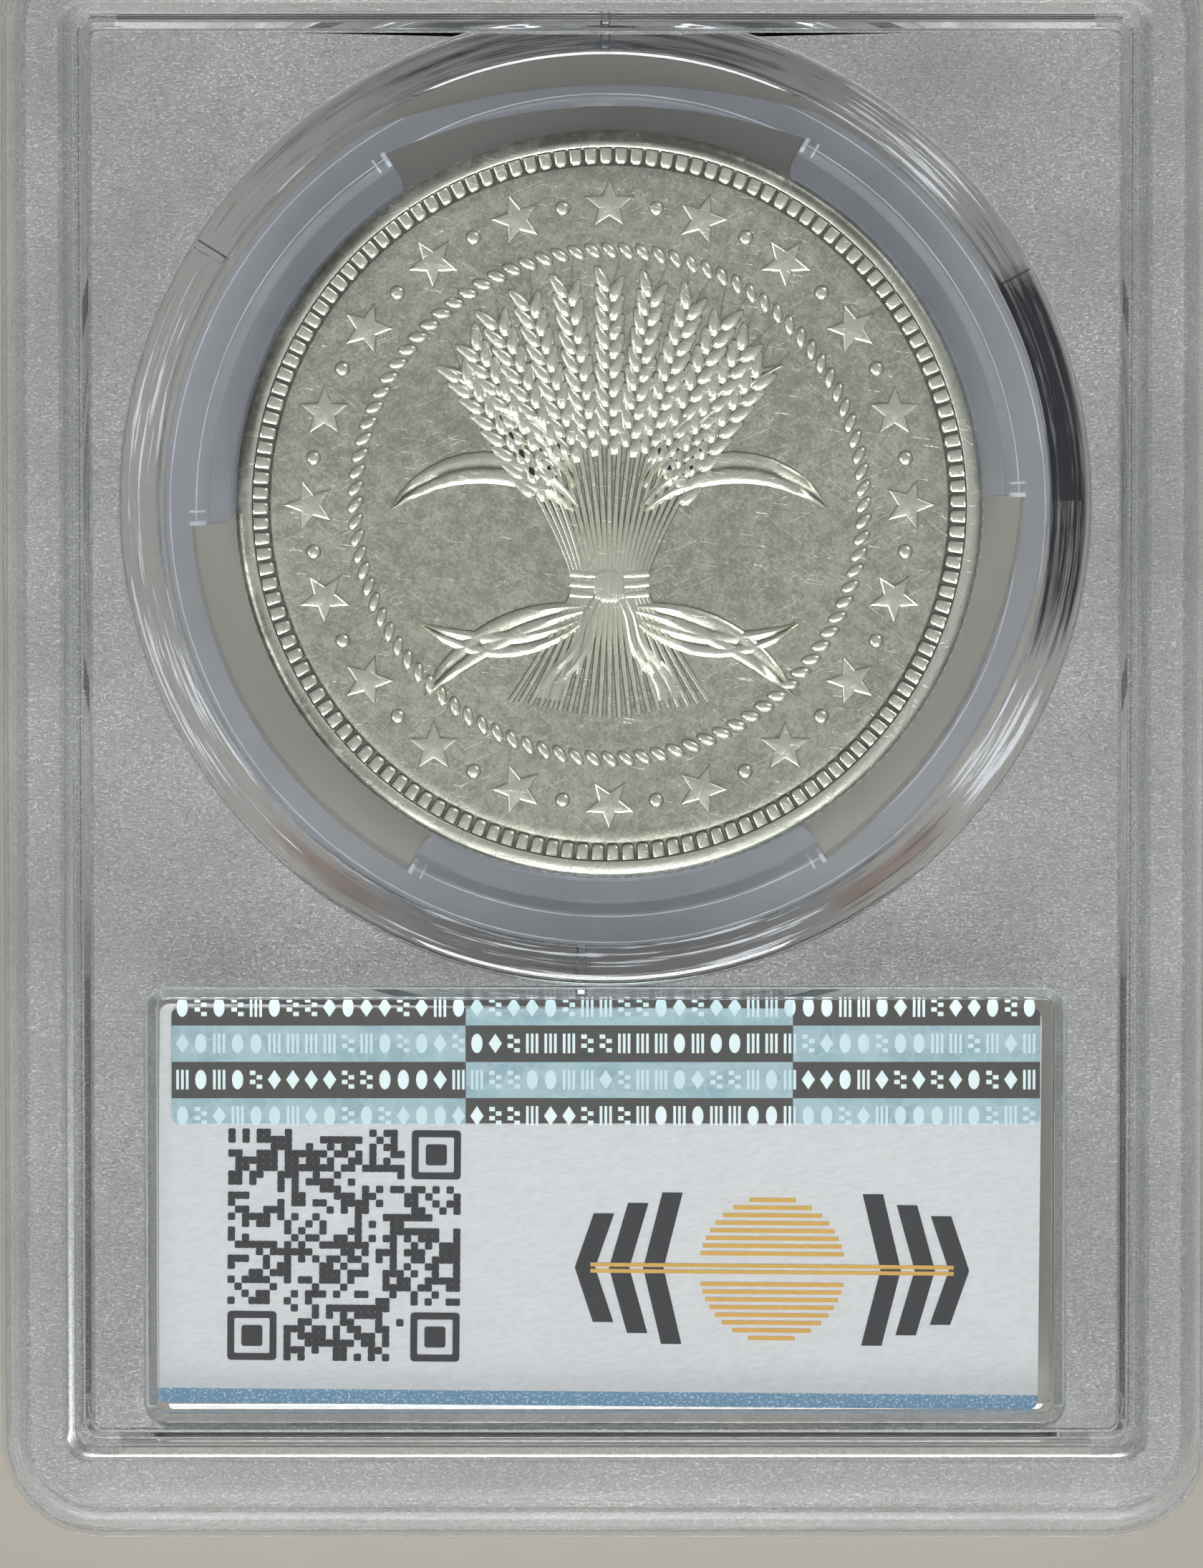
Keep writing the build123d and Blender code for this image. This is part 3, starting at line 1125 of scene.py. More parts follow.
class Growth:
    """A Geometry Nodes tree with named inputs, and one method for any node."""

    KINDS = {
        int: "NodeSocketInt",
        float: "NodeSocketFloat",
        bpy.types.Object: "NodeSocketObject",
        Material: "NodeSocketMaterial",
    }

    def __init__(self, name: str, inputs: dict[str, type]) -> None:
        """Start a tree.

        Args:
            name: The tree's name.
            inputs: The kind of each named input.
        """
        self.tree = bpy.data.node_groups.new(name, "GeometryNodeTree")
        face = self.tree.interface
        face.new_socket("Geometry", in_out="INPUT", socket_type="NodeSocketGeometry")
        face.new_socket("Geometry", in_out="OUTPUT", socket_type="NodeSocketGeometry")
        for label, kind in inputs.items():
            face.new_socket(label, in_out="INPUT", socket_type=self.KINDS[kind])
        self.given = self.tree.nodes.new("NodeGroupInput").outputs
        self.result = self.tree.nodes.new("NodeGroupOutput").inputs

    def node(self, kind: str, settings: dict[str, object] | None = None,
             values: dict[str | int, object] | None = None) -> bpy.types.NodeOutputs:
        """Add any node, and give its outputs."""
        return add_node(self.tree, kind, settings, values).outputs

    def math(self, operation: str, *values: object) -> Socket:
        """Add a Math node and give its value."""
        return self.node("ShaderNodeMath", {"operation": operation}, dict(enumerate(values)))[0]

    def turn(self, angle: object, axis: str = "Z") -> Socket:
        """Give a vector along one axis, such as a turn about it."""
        return self.node("ShaderNodeCombineXYZ", None, {axis: angle})[0]

    def copies(self, points: Socket, **more: object) -> Socket:
        """Put the given shape on points; more inputs say how it is turned or chosen."""
        shape = self.node("GeometryNodeObjectInfo", None, {"Object": self.given["Shape"]})
        return self.node("GeometryNodeInstanceOnPoints", None,
                         {"Points": points, "Instance": shape["Geometry"], **more})[0]

    def finish(self, geometry: Socket) -> None:
        """End the tree with real geometry in the given material.

        Args:
            geometry: The geometry, which may hold instances.
        """
        real = self.node("GeometryNodeRealizeInstances", None, {0: geometry})[0]
        dressed = self.node("GeometryNodeSetMaterial", None,
                            {"Geometry": real, "Material": self.given["Material"]})[0]
        self.tree.links.new(dressed, self.result[0])

    def grown(self, host: bpy.types.ID, name: str, values: dict[str, object]) -> Mesh:
        """Run the tree and keep its result as a plain mesh.

        Args:
            host: The mesh or curve that the tree starts from.
            name: The result's name.
            values: The value of each named input.

        Returns:
            The mesh.
        """
        carrier = bpy.data.objects.new(f"{name}_host", host)
        bpy.context.scene.collection.objects.link(carrier)
        modifier = carrier.modifiers.new("growth", "NODES")
        modifier.node_group = self.tree
        marks = {socket.name: socket.identifier for socket in self.tree.interface.items_tree
                 if socket.in_out == "INPUT"}
        for label, value in values.items():
            modifier[marks[label]] = value
        seen = carrier.evaluated_get(bpy.context.evaluated_depsgraph_get())
        mesh = bpy.data.meshes.new_from_object(seen)
        mesh.name = name
        carrier.modifiers.remove(modifier)
        bpy.data.objects.remove(carrier)
        return mesh


def template(name: str, form: Form, sharp: float = 35.0) -> bpy.types.Object:
    """Make the shape that a growth repeats.

    Args:
        name: The shape's name.
        form: The shape.
        sharp: The angle past which its edges stay sharp.

    Returns:
        An object that no collection holds.
    """
    return bpy.data.objects.new(name, form.mesh(name, sharp))


def drop(*shapes: bpy.types.Object) -> None:
    """Remove the shapes that growths repeated."""
    for shape in shapes:
        bpy.data.objects.remove(shape)


def ring_growth() -> Growth:
    """Build the growth that repeats a shape around a circle.

    Returns:
        The growth, with Count, Radius, Start, Shape and Material.
    """
    g = Growth("around_a_ring", {
        "Count": int, "Radius": float, "Start": float, "Shape": bpy.types.Object,
        "Material": Material})
    circle = g.node("GeometryNodeMeshCircle", None,
                    {"Vertices": g.given["Count"], "Radius": g.given["Radius"]})[0]
    index = g.node("GeometryNodeInputIndex")[0]
    step = g.math("DIVIDE", math.tau, g.given["Count"])
    copies = g.copies(circle, Rotation=g.turn(g.math("MULTIPLY", index, step)))
    g.finish(g.node("GeometryNodeTransform", None,
                    {"Geometry": copies, "Rotation": g.turn(g.given["Start"])})[0])
    return g


def ear_growth() -> Growth:
    """Build the growth that sets grains along curves, leaning out left and right in turn.

    Returns:
        The growth, with Pitch, Splay, Aside, Shape and Material.
    """
    g = Growth("grains_on_ears", {
        "Pitch": float, "Splay": float, "Aside": float, "Shape": bpy.types.Object,
        "Material": Material})
    spaced = g.node("GeometryNodeCurveToPoints", {"mode": "LENGTH"},
                    {"Curve": g.given["Geometry"], "Length": g.given["Pitch"]})
    index = g.node("GeometryNodeInputIndex")[0]
    odd = g.math("MODULO", index, 2.0)
    side = g.math("SUBTRACT", g.math("MULTIPLY", odd, 2.0), 1.0)
    along = g.node("FunctionNodeAlignRotationToVector", {"axis": "X"},
                   {"Vector": spaced["Tangent"]})[0]
    lean = g.turn(g.math("MULTIPLY", side, g.given["Splay"]))
    turned = g.node("FunctionNodeRotateRotation", {"rotation_space": "LOCAL"},
                    {0: along, 1: lean})[0]
    copies = g.copies(spaced["Points"], Rotation=turned)
    shift = g.turn(g.math("MULTIPLY", side, g.given["Aside"]), "Y")
    g.finish(g.node("GeometryNodeTranslateInstances", None,
                    {"Instances": copies, "Translation": shift})[0])
    return g


def block_growth() -> Growth:
    """Build the growth that fills a square with random printed blocks, clear of three corners.

    Returns:
        The growth, with Modules, Size, Corner, Fill, Seed, Shape and Material.
    """
    g = Growth("random_blocks", {
        "Modules": int, "Size": float, "Corner": float, "Fill": float, "Seed": int,
        "Shape": bpy.types.Object, "Material": Material})
    grid = g.node("GeometryNodeMeshGrid", None, {
        "Size X": g.given["Size"], "Size Y": g.given["Size"],
        "Vertices X": g.given["Modules"], "Vertices Y": g.given["Modules"]})[0]
    place = g.node("GeometryNodeInputPosition")[0]
    x, y, _ = g.node("ShaderNodeSeparateXYZ", None, {0: place})
    nearest = g.math("MINIMUM", g.math("ABSOLUTE", x), g.math("ABSOLUTE", y))
    in_corner = g.math("GREATER_THAN", nearest, g.given["Corner"])
    open_corner = g.math("MULTIPLY", g.math("LESS_THAN", x, 0.0), g.math("GREATER_THAN", y, 0.0))
    barred = g.math("MULTIPLY", in_corner, g.math("SUBTRACT", 1.0, open_corner))
    chance = g.node("FunctionNodeRandomValue", {"data_type": "BOOLEAN"},
                    {"Probability": g.given["Fill"], "Seed": g.given["Seed"]})
    drawn = next(socket for socket in chance if socket.type == "BOOLEAN")
    kept = g.math("MULTIPLY", drawn, g.math("SUBTRACT", 1.0, barred))
    g.finish(g.copies(grid, Selection=kept))
    return g


def row_growth() -> Growth:
    """Build the growth that draws marks from four shapes over rows.

    Returns:
        The growth, with Columns, Rows, Width, Depth, Seed, the four shapes and Material.
    """
    g = Growth("rows_of_marks", {
        "Columns": int, "Rows": int, "Width": float, "Depth": float, "Seed": int,
        "First": bpy.types.Object, "Second": bpy.types.Object, "Third": bpy.types.Object,
        "Fourth": bpy.types.Object, "Material": Material})
    grid = g.node("GeometryNodeMeshGrid", None, {
        "Size X": g.given["Width"], "Size Y": g.given["Depth"],
        "Vertices X": g.given["Columns"], "Vertices Y": g.given["Rows"]})[0]
    shapes = g.tree.nodes.new("GeometryNodeJoinGeometry")
    for label in ("First", "Second", "Third", "Fourth"):
        shape = g.node("GeometryNodeObjectInfo", {"transform_space": "ORIGINAL"}, {
            "Object": g.given[label], "As Instance": True})["Geometry"]
        g.tree.links.new(shape, shapes.inputs[0])
    pick = g.node("FunctionNodeRandomValue", {"data_type": "INT"}, {"Seed": g.given["Seed"]})
    node = pick[0].node
    for socket in node.inputs:
        if socket.type == "INT" and socket.name in ("Min", "Max"):
            socket.default_value = 0 if socket.name == "Min" else 3
    drawn = next(socket for socket in pick if socket.type == "INT")
    copies = g.node("GeometryNodeInstanceOnPoints", None, {
        "Points": grid, "Instance": shapes.outputs[0], "Pick Instance": True,
        "Instance Index": drawn})[0]
    g.finish(copies)
    return g


# ---------------------------------------------------------------- sub-assemblies


@dataclass
class ClearCase:
    """The two welded clear shells and the soft gasket between them."""

    rear: ClearPlastic = ClearPlastic("rear_clear")
    front: ClearPlastic = ClearPlastic(
        "front_clear", tint=(0.89, 0.90, 0.905), stippled_from=0.66, stippled_to=1.02,
        lens_level=-1.0)
    gel: SoftGel = SoftGel()
    shell_edge: float = 0.07
    gasket_edge: float = 0.03

    def build(self) -> None:
        """Round the moulded edges of the shells and the gasket, and dress them."""
        for node, finish in (("rear_shell", self.rear), ("front_shell", self.front)):
            mesh = eased(node, self.shell_edge)
            piece(f"{node}_moulded", mesh, finish.material(), Slot.SHELL, node)
        mesh = eased("coin_gasket", self.gasket_edge, 50.0)
        piece("coin_gasket_moulded", mesh, self.gel.material(), Slot.GASKET, "coin_gasket")


def bent(start: Pair, heading: float, *bends: Pair) -> Outline:
    """Follow a line that turns steadily over each of its stretches.

    Args:
        start: Where the line starts.
        heading: Its first direction, in degrees.
        bends: Each stretch's length and the degrees that it turns.

    Returns:
        The line's points.
    """
    steps = 12
    path = [start]
    for length, bend in bends:
        for _ in range(steps):
            heading += bend / steps
            turn = math.radians(heading)
            x, y = path[-1]
            path.append((x + length / steps * math.cos(turn), y + length / steps * math.sin(turn)))
    return path


def mirrored(path: Outline, side: int) -> Outline:
    """Give the path itself, or its mirror image where side is -1."""
    return [(side * x, y) for x, y in path]


@dataclass
class Coin:
    """A struck silver coin: a reeded blank, beads inside the rim and a relief on each face."""

    radius: float = 19.05
    reed_depth: float = 0.11
    reeds: int = 180
    beads: int = 144
    bead_from: float = 17.29
    bead_to: float = 18.14
    field_depth: float = 0.20
    rim_width: float = 0.90
    shoulder_drop: float = 0.36
    star_ring: float = 15.25
    stars: int = 20
    star_reach: float = 1.42
    star_waist: float = 0.62
    pellet_radius: float = 0.42
    rope_ring: float = 12.95
    rope_strands: int = 96
    strand_half: Pair = (0.58, 0.29)
    strand_turn: float = 48.0
    ears: int = 11
    sheaf_foot: float = -10.9
    sheaf_tie: float = -4.1
    sheaf_top: float = 11.5
    compass_reaches: tuple[float, ...] = (11.2, 4.6, 7.8, 4.6)

    def __post_init__(self) -> None:
        """Find the coin's place in the frame."""
        low, high = (Vector(corner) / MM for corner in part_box("coin"))
        self.centre = (float((low.x + high.x) / 2), float((low.y + high.y) / 2))
        self.levels = {Face.UPPER: float(high.z), Face.LOWER: float(low.z)}

    def build(self) -> None:
        """Build the blank, its edge and both reliefs."""
        self._blank(self._finish(Face.UPPER, "blank_silver", 0.0))
        ring = ring_growth()
        for side in Face:
            silver = self._finish(side, f"relief_silver_{side.name.lower()}", 0.9)
            self._reeds(ring, silver, side)
            self._border(ring, side, silver)
            if side is Face.UPPER:
                self._sheaf(silver)
            else:
                self._compass(silver)

    def _finish(self, side: Face, name: str, foot_shade: float) -> Material:
        """Make the silver of one face's pieces."""
        ground = self.levels[side] - side.value * self.field_depth
        return StruckSilver(name, self.centre, ground, self.field_depth, foot_shade).material()

    def _onto(self, side: Face, unit: float = 1.0) -> Matrix:
        """Give the change that lays a form of one face in its place.

        Args:
            side: The face.
            unit: 1 for a form in millimetres, MM for a mesh in metres.

        Returns:
            The matrix.
        """
        ground = self.levels[side] - side.value * self.field_depth
        place = Matrix.Translation(Vector((*self.centre, ground)) * unit)
        return place if side is Face.UPPER else place @ Matrix.Rotation(math.pi, 4, "X")

    def _blank(self, silver: Material) -> None:
        """Turn the blank, with its raised rims.

        Args:
            silver: The silver that it is struck in.
        """
        inner = self.radius - self.rim_width
        edge = self.radius - self.reed_depth
        top, bottom = self.levels[Face.UPPER], self.levels[Face.LOWER]
        depth = self.field_depth
        half = [(0.0, 0.0), (4.0, 0.0), (8.0, 0.0), (12.0, 0.0), (15.0, 0.0), (16.7, 0.005),
                (self.bead_from - 0.12, 0.012), (self.bead_from - 0.05, -0.02),
                (inner - 0.05, -0.02), (inner, 0.02)]
        rim = ((0.06, 0.03), (0.14, 0.0), (0.38, 0.005), (0.56, 0.035), (0.72, 0.09), (0.86, 0.18))
        half += [(inner + self.rim_width * share, depth - drop) for share, drop in rim]
        half.append((self.radius - 0.04, depth - 0.32))
        upper = [(r, top - depth + h) for r, h in half]
        lower = [(r, bottom + depth - h) for r, h in reversed(half)]
        middle = [(edge, top - self.shoulder_drop), (edge, bottom + self.shoulder_drop)]
        form = revolved(upper + middle + lower, 256).moved(Matrix.Translation((*self.centre, 0.0)))
        piece("coin_blank", form.mesh("coin_blank", 28.0), silver, Slot.SILVER, "coin")

    def _repeat(self, ring: Growth, name: str, count: int, radius: float, start: float,
                shape: bpy.types.Object, silver: Material, side: Face) -> None:
        """Repeat a shape around one face as one piece, and drop the shape.

        Args:
            ring: The growth that repeats around a circle.
            name: The piece's name.
            count: How many times it is repeated.
            radius: The circle's radius.
            start: The first one's bearing, in radians.
            shape: The shape.
            silver: The silver that it is struck in.
            side: The face that it belongs to.
        """
        mesh = ring.grown(bpy.data.meshes.new(f"{name}_line"), name, {
            "Count": count, "Radius": radius * MM, "Start": start, "Shape": shape,
            "Material": silver})
        mesh.transform(self._onto(side, MM))
        piece(name, mesh, silver, Slot.SILVER)
        drop(shape)

    def _reeds(self, ring: Growth, silver: Material, side: Face) -> None:
        """Set the reeds around the blank's edge, half their height from each face.

        Args:
            ring: The growth that repeats around a circle.
            silver: The silver that it is struck in.
            side: The face that it belongs to.
        """
        width = math.tau * self.radius / self.reeds * 0.62
        thick = self.levels[Face.UPPER] - self.levels[Face.LOWER]
        tall, foot = thick / 2 - self.field_depth, self.shoulder_drop - self.field_depth
        outline = [(-0.05, -width / 2), (self.reed_depth * 0.55, -width / 2 * 0.8),
                   (self.reed_depth, -width / 4), (self.reed_depth, width / 4),
                   (self.reed_depth * 0.55, width / 2 * 0.8), (-0.05, width / 2)]
        form = stacked([outline, outline], [-tall, -foot])
        name = f"coin_reeds_{side.name.lower()}"
        self._repeat(ring, name, self.reeds, self.radius - self.reed_depth, 0.0,
                     template("reed", form, 50.0), silver, side)

    def _border(self, ring: Growth, side: Face, silver: Material) -> None:
        """Set the beads, the stars with pellets between them, and the rope inside them.

        Args:
            ring: The growth that repeats around a circle.
            side: The face that it belongs to.
            silver: The silver that it is struck in.
        """
        tail = side.name.lower()
        step = math.tau / self.stars
        self._repeat(ring, f"coin_beads_{tail}", self.beads, (self.bead_from + self.bead_to) / 2,
                     0.01, template("bead", self._bead(), 45.0), silver, side)
        self._repeat(ring, f"coin_stars_{tail}", self.stars, self.star_ring, math.pi / 2,
                     template("star", self._star(), 12.0), silver, side)
        self._repeat(ring, f"coin_pellets_{tail}", self.stars, self.star_ring,
                     math.pi / 2 + step / 2, template("pellet", self._pellet(), 60.0), silver,
                     side)
        self._repeat(ring, f"coin_rope_{tail}", self.rope_strands, self.rope_ring, 0.0,
                     template("strand", self._strand(), 60.0), silver, side)

    def _bead(self) -> Form:
        """Shape one bead, blunt at the rim and narrower towards the field.

        Returns:
            The bead.
        """
        half = (self.bead_to - self.bead_from) / 2
        width = math.tau * self.bead_from / self.beads * 0.90
        foot = [(-half, -width * 0.26), (-half * 0.78, -width * 0.46), (half, -width * 0.5),
                (half, width * 0.5), (-half * 0.78, width * 0.46), (-half, width * 0.26)]
        height = self.field_depth * 0.82
        layers = ((1.0, half), (0.95, half), (0.82, half * 0.7), (0.55, half * 0.3))
        return stacked([scaled(foot, share, (middle, 0.0)) for share, middle in layers],
                       [RELIEF_FOOT, height * 0.4, height * 0.8, height])

    def _star(self) -> Form:
        """Shape one five-pointed star, faceted from its points to its middle.

        Returns:
            The star.
        """
        tips = []
        for i in range(10):
            radius = self.star_waist if i % 2 else self.star_reach
            turn = math.tau * i / 10
            tips.append((radius * math.cos(turn), radius * math.sin(turn)))
        depth = self.field_depth
        return stacked([scaled(tips, share) for share in (1.0, 0.89, 0.78, 0.04)],
                       [RELIEF_FOOT, depth * 0.62, depth * 0.78, depth * 1.04])

    def _pellet(self) -> Form:
        """Shape one low round pellet.

        Returns:
            The pellet.
        """
        round_ = oval(self.pellet_radius, self.pellet_radius, 12)
        height = self.field_depth * 0.8
        return stacked([round_, scaled(round_, 0.8), scaled(round_, 0.4)],
                       [RELIEF_FOOT, height * 0.6, height])

    def _strand(self) -> Form:
        """Shape one slanted strand of the rope.

        Returns:
            The strand.
        """
        foot = oval(*self.strand_half, 10)
        height = self.field_depth * 0.85
        form = stacked([foot, scaled(foot, 0.85), scaled(foot, 0.4)],
                       [RELIEF_FOOT, height * 0.6, height])
        return form.moved(Matrix.Rotation(math.radians(self.strand_turn), 4, "Z"))

    def _stalk(self, place: float, share: float) -> Pair:
        """Give a point on one stalk of the sheaf.

        Args:
            place: The stalk's place across the sheaf, from -1 to 1.
            share: How far up the stalk, from 0 at its foot to 1 at its ear's tip.

        Returns:
            The point.
        """
        foot, tie, top = self.sheaf_foot + 0.9 * abs(place), self.sheaf_tie, self.sheaf_top
        y = foot + share * (top - 4.6 * abs(place) ** 1.7 - foot)
        if y < tie:
            return (place * (1.75 + 3.3 * ((tie - y) / (tie - foot)) ** 1.2), y)
        return (place * (1.75 + 9.6 * ((y - tie) / (top - tie)) ** 1.3), y)

    def _sheaf(self, silver: Material) -> None:
        """Raise a bound wheat sheaf in the middle of the upper face.

        Args:
            silver: The silver that it is struck in.
        """
        relief = Form()
        height = self.field_depth
        places = [-1 + 2 * i / (self.ears - 1) for i in range(self.ears)]
        straws = [-1 + i / 10 for i in range(21)]
        for place in sorted(straws, key=abs, reverse=True):
            path = [self._stalk(place, i / 26) for i in range(17)]
            rise = height * (0.55 + 0.35 * (1 - abs(place)))
            relief.add(ridge(path, [0.32] * len(path), [rise] * len(path)))
        for place in places:
            relief.add(self._beard(place))
        for side in (-1, 1):
            relief.add(self._leaves(side))
        for level in (-4.62, -4.1, -3.58):
            band = [(x / 4, level + 0.03 * (x / 4) ** 2) for x in range(-8, 9)]
            relief.add(ridge(band, [0.50] * len(band), [height * 0.8] * len(band)))
        relief.add(self._knot())
        mesh = relief.moved(self._onto(Face.UPPER)).mesh("coin_sheaf", 42.0)
        piece("coin_sheaf", mesh, silver, Slot.SILVER)
        self._grains(places, silver)

    def _beard(self, place: float) -> Form:
        """Draw the fine bristles that stand out of one ear.

        Args:
            place: The ear's place across the sheaf, from -1 to 1.

        Returns:
            The bristles.
        """
        made = Form()
        for share in (0.74, 0.82, 0.90, 0.97):
            at, after = self._stalk(place, share), self._stalk(place, share + 0.02)
            heading = math.degrees(math.atan2(after[1] - at[1], after[0] - at[0]))
            for side in (-1, 1):
                line = bent(at, heading + side * 24, (2.1, -side * 14))
                steps = len(line)
                made.add(ridge(line, [0.13 - 0.08 * i / steps for i in range(steps)],
                               [self.field_depth * 0.42] * steps))
        return made

    def _leaves(self, side: int) -> Form:
        """Bend long leaves out of one side of the sheaf.

        Args:
            side: 1 for the right side, -1 for the left.

        Returns:
            The leaves.
        """
        made = Form()
        height = self.field_depth
        for start, heading, bend, length, width in (
                ((1.7, -0.2), 52, -96, 10.6, 1.7), ((1.6, 1.0), 62, -40, 9.6, 1.2),
                ((1.4, -5.3), -4, -46, 9.4, 1.6), ((1.6, -6.0), -34, 62, 8.4, 1.4)):
            path = mirrored(bent(start, heading, (length, bend)), side)
            steps = len(path) - 1
            shares = [i / steps for i in range(steps + 1)]
            widths = [0.1 + width * math.sin(math.pi * min(s * 0.94 + 0.06, 1.0)) ** 0.75
                      for s in shares]
            heights = [height * (1.05 - 0.3 * s) for s in shares]
            made.add(ridge(path, widths, heights, crease=0.8))
        return made

    def _knot(self) -> Form:
        """Tie the band in a knot with two tails.

        Returns:
            The knot.
        """
        made = Form()
        height = self.field_depth
        for side in (-1, 1):
            tail = mirrored(bent((0.5, -4.6), -52, (2.0, -30), (2.2, 40), (1.8, -40)), side)
            widths = [0.7 + 0.8 * i / len(tail) for i in range(len(tail))]
            made.add(ridge(tail, widths, [height * 1.0] * len(tail), crease=0.6))
        knot = []
        for i in range(20):
            turn = math.tau * i / 20
            knot.append((0.85 * math.copysign(abs(math.cos(turn)) ** 0.7, math.cos(turn)),
                         0.95 * math.copysign(abs(math.sin(turn)) ** 0.7, math.sin(turn))
                         + self.sheaf_tie))
        middle = (0.0, self.sheaf_tie)
        made.add(stacked([scaled(knot, share, middle) for share in (1.0, 0.96, 0.84, 0.6, 0.25)],
                         [height * rise for rise in (-0.25, 0.7, 0.95, 1.02, 1.04)]))
        for x in (-0.4, 0.0, 0.4):
            fold = [(x * 1.1, -4.75), (x, -4.4), (x * 0.8, -4.1), (x, -3.8), (x * 1.1, -3.45)]
            made.add(ridge(fold, [0.16, 0.26, 0.28, 0.26, 0.16], [height * 1.16] * 5))
        return made

    def _grains(self, places: list[float], silver: Material) -> None:
        """Set the grains of every ear along its stalk.

        Args:
            places: The ears' places across the sheaf.
            silver: The silver that it is struck in.
        """
        ears = bpy.data.curves.new("ear_lines", "CURVE")
        ears.dimensions = "3D"
        for place in places:
            line = ears.splines.new("POLY")
            spots = [self._stalk(place, 0.62 + 0.37 * i / 14) for i in range(15)]
            line.points.add(len(spots) - 1)
            for point, (x, y) in zip(line.points, spots, strict=True):
                point.co = (x * MM, y * MM, 0.0, 1.0)
        height = self.field_depth
        outline = []
        for i in range(12):
            turn = math.tau * i / 12
            outline.append((0.36 + 0.80 * math.cos(turn),
                            0.30 * math.sin(turn) * (1.12 - 0.35 * math.cos(turn))))
        form = stacked([scaled(outline, share, (0.36, 0.0)) for share in (1.0, 0.88, 0.45)],
                       [RELIEF_FOOT, height * 0.62, height])
        grain = template("grain", form, 50.0)
        mesh = ear_growth().grown(ears, "coin_grains", {
            "Pitch": 0.47 * MM, "Splay": math.radians(25.0), "Aside": 0.27 * MM,
            "Shape": grain, "Material": silver})
        mesh.transform(self._onto(Face.UPPER, MM))
        piece("coin_grains", mesh, silver, Slot.SILVER)
        drop(grain)

    def _compass(self, silver: Material) -> None:
        """Raise an eight-pointed compass star in the middle of the lower face.

        Args:
            silver: The silver that it is struck in.
        """
        relief = Form()
        height = self.field_depth
        for i in range(16):
            reach = self.compass_reaches[i % 4]
            turn = math.tau * i / 16
            steps = 9
            path = [(reach * s / steps * math.cos(turn), reach * s / steps * math.sin(turn))
                    for s in range(steps + 1)]
            broad = 0.35 + 0.65 * reach / self.compass_reaches[0]
            widths = [max(2.6 * (1 - s / steps), 0.04) * broad for s in range(steps + 1)]
            heights = [height * (0.98 - 0.45 * s / steps) for s in range(steps + 1)]
            relief.add(ridge(path, widths, heights))
        mesh = relief.moved(self._onto(Face.LOWER)).mesh("coin_compass", 20.0)
        piece("coin_compass", mesh, silver, Slot.SILVER)


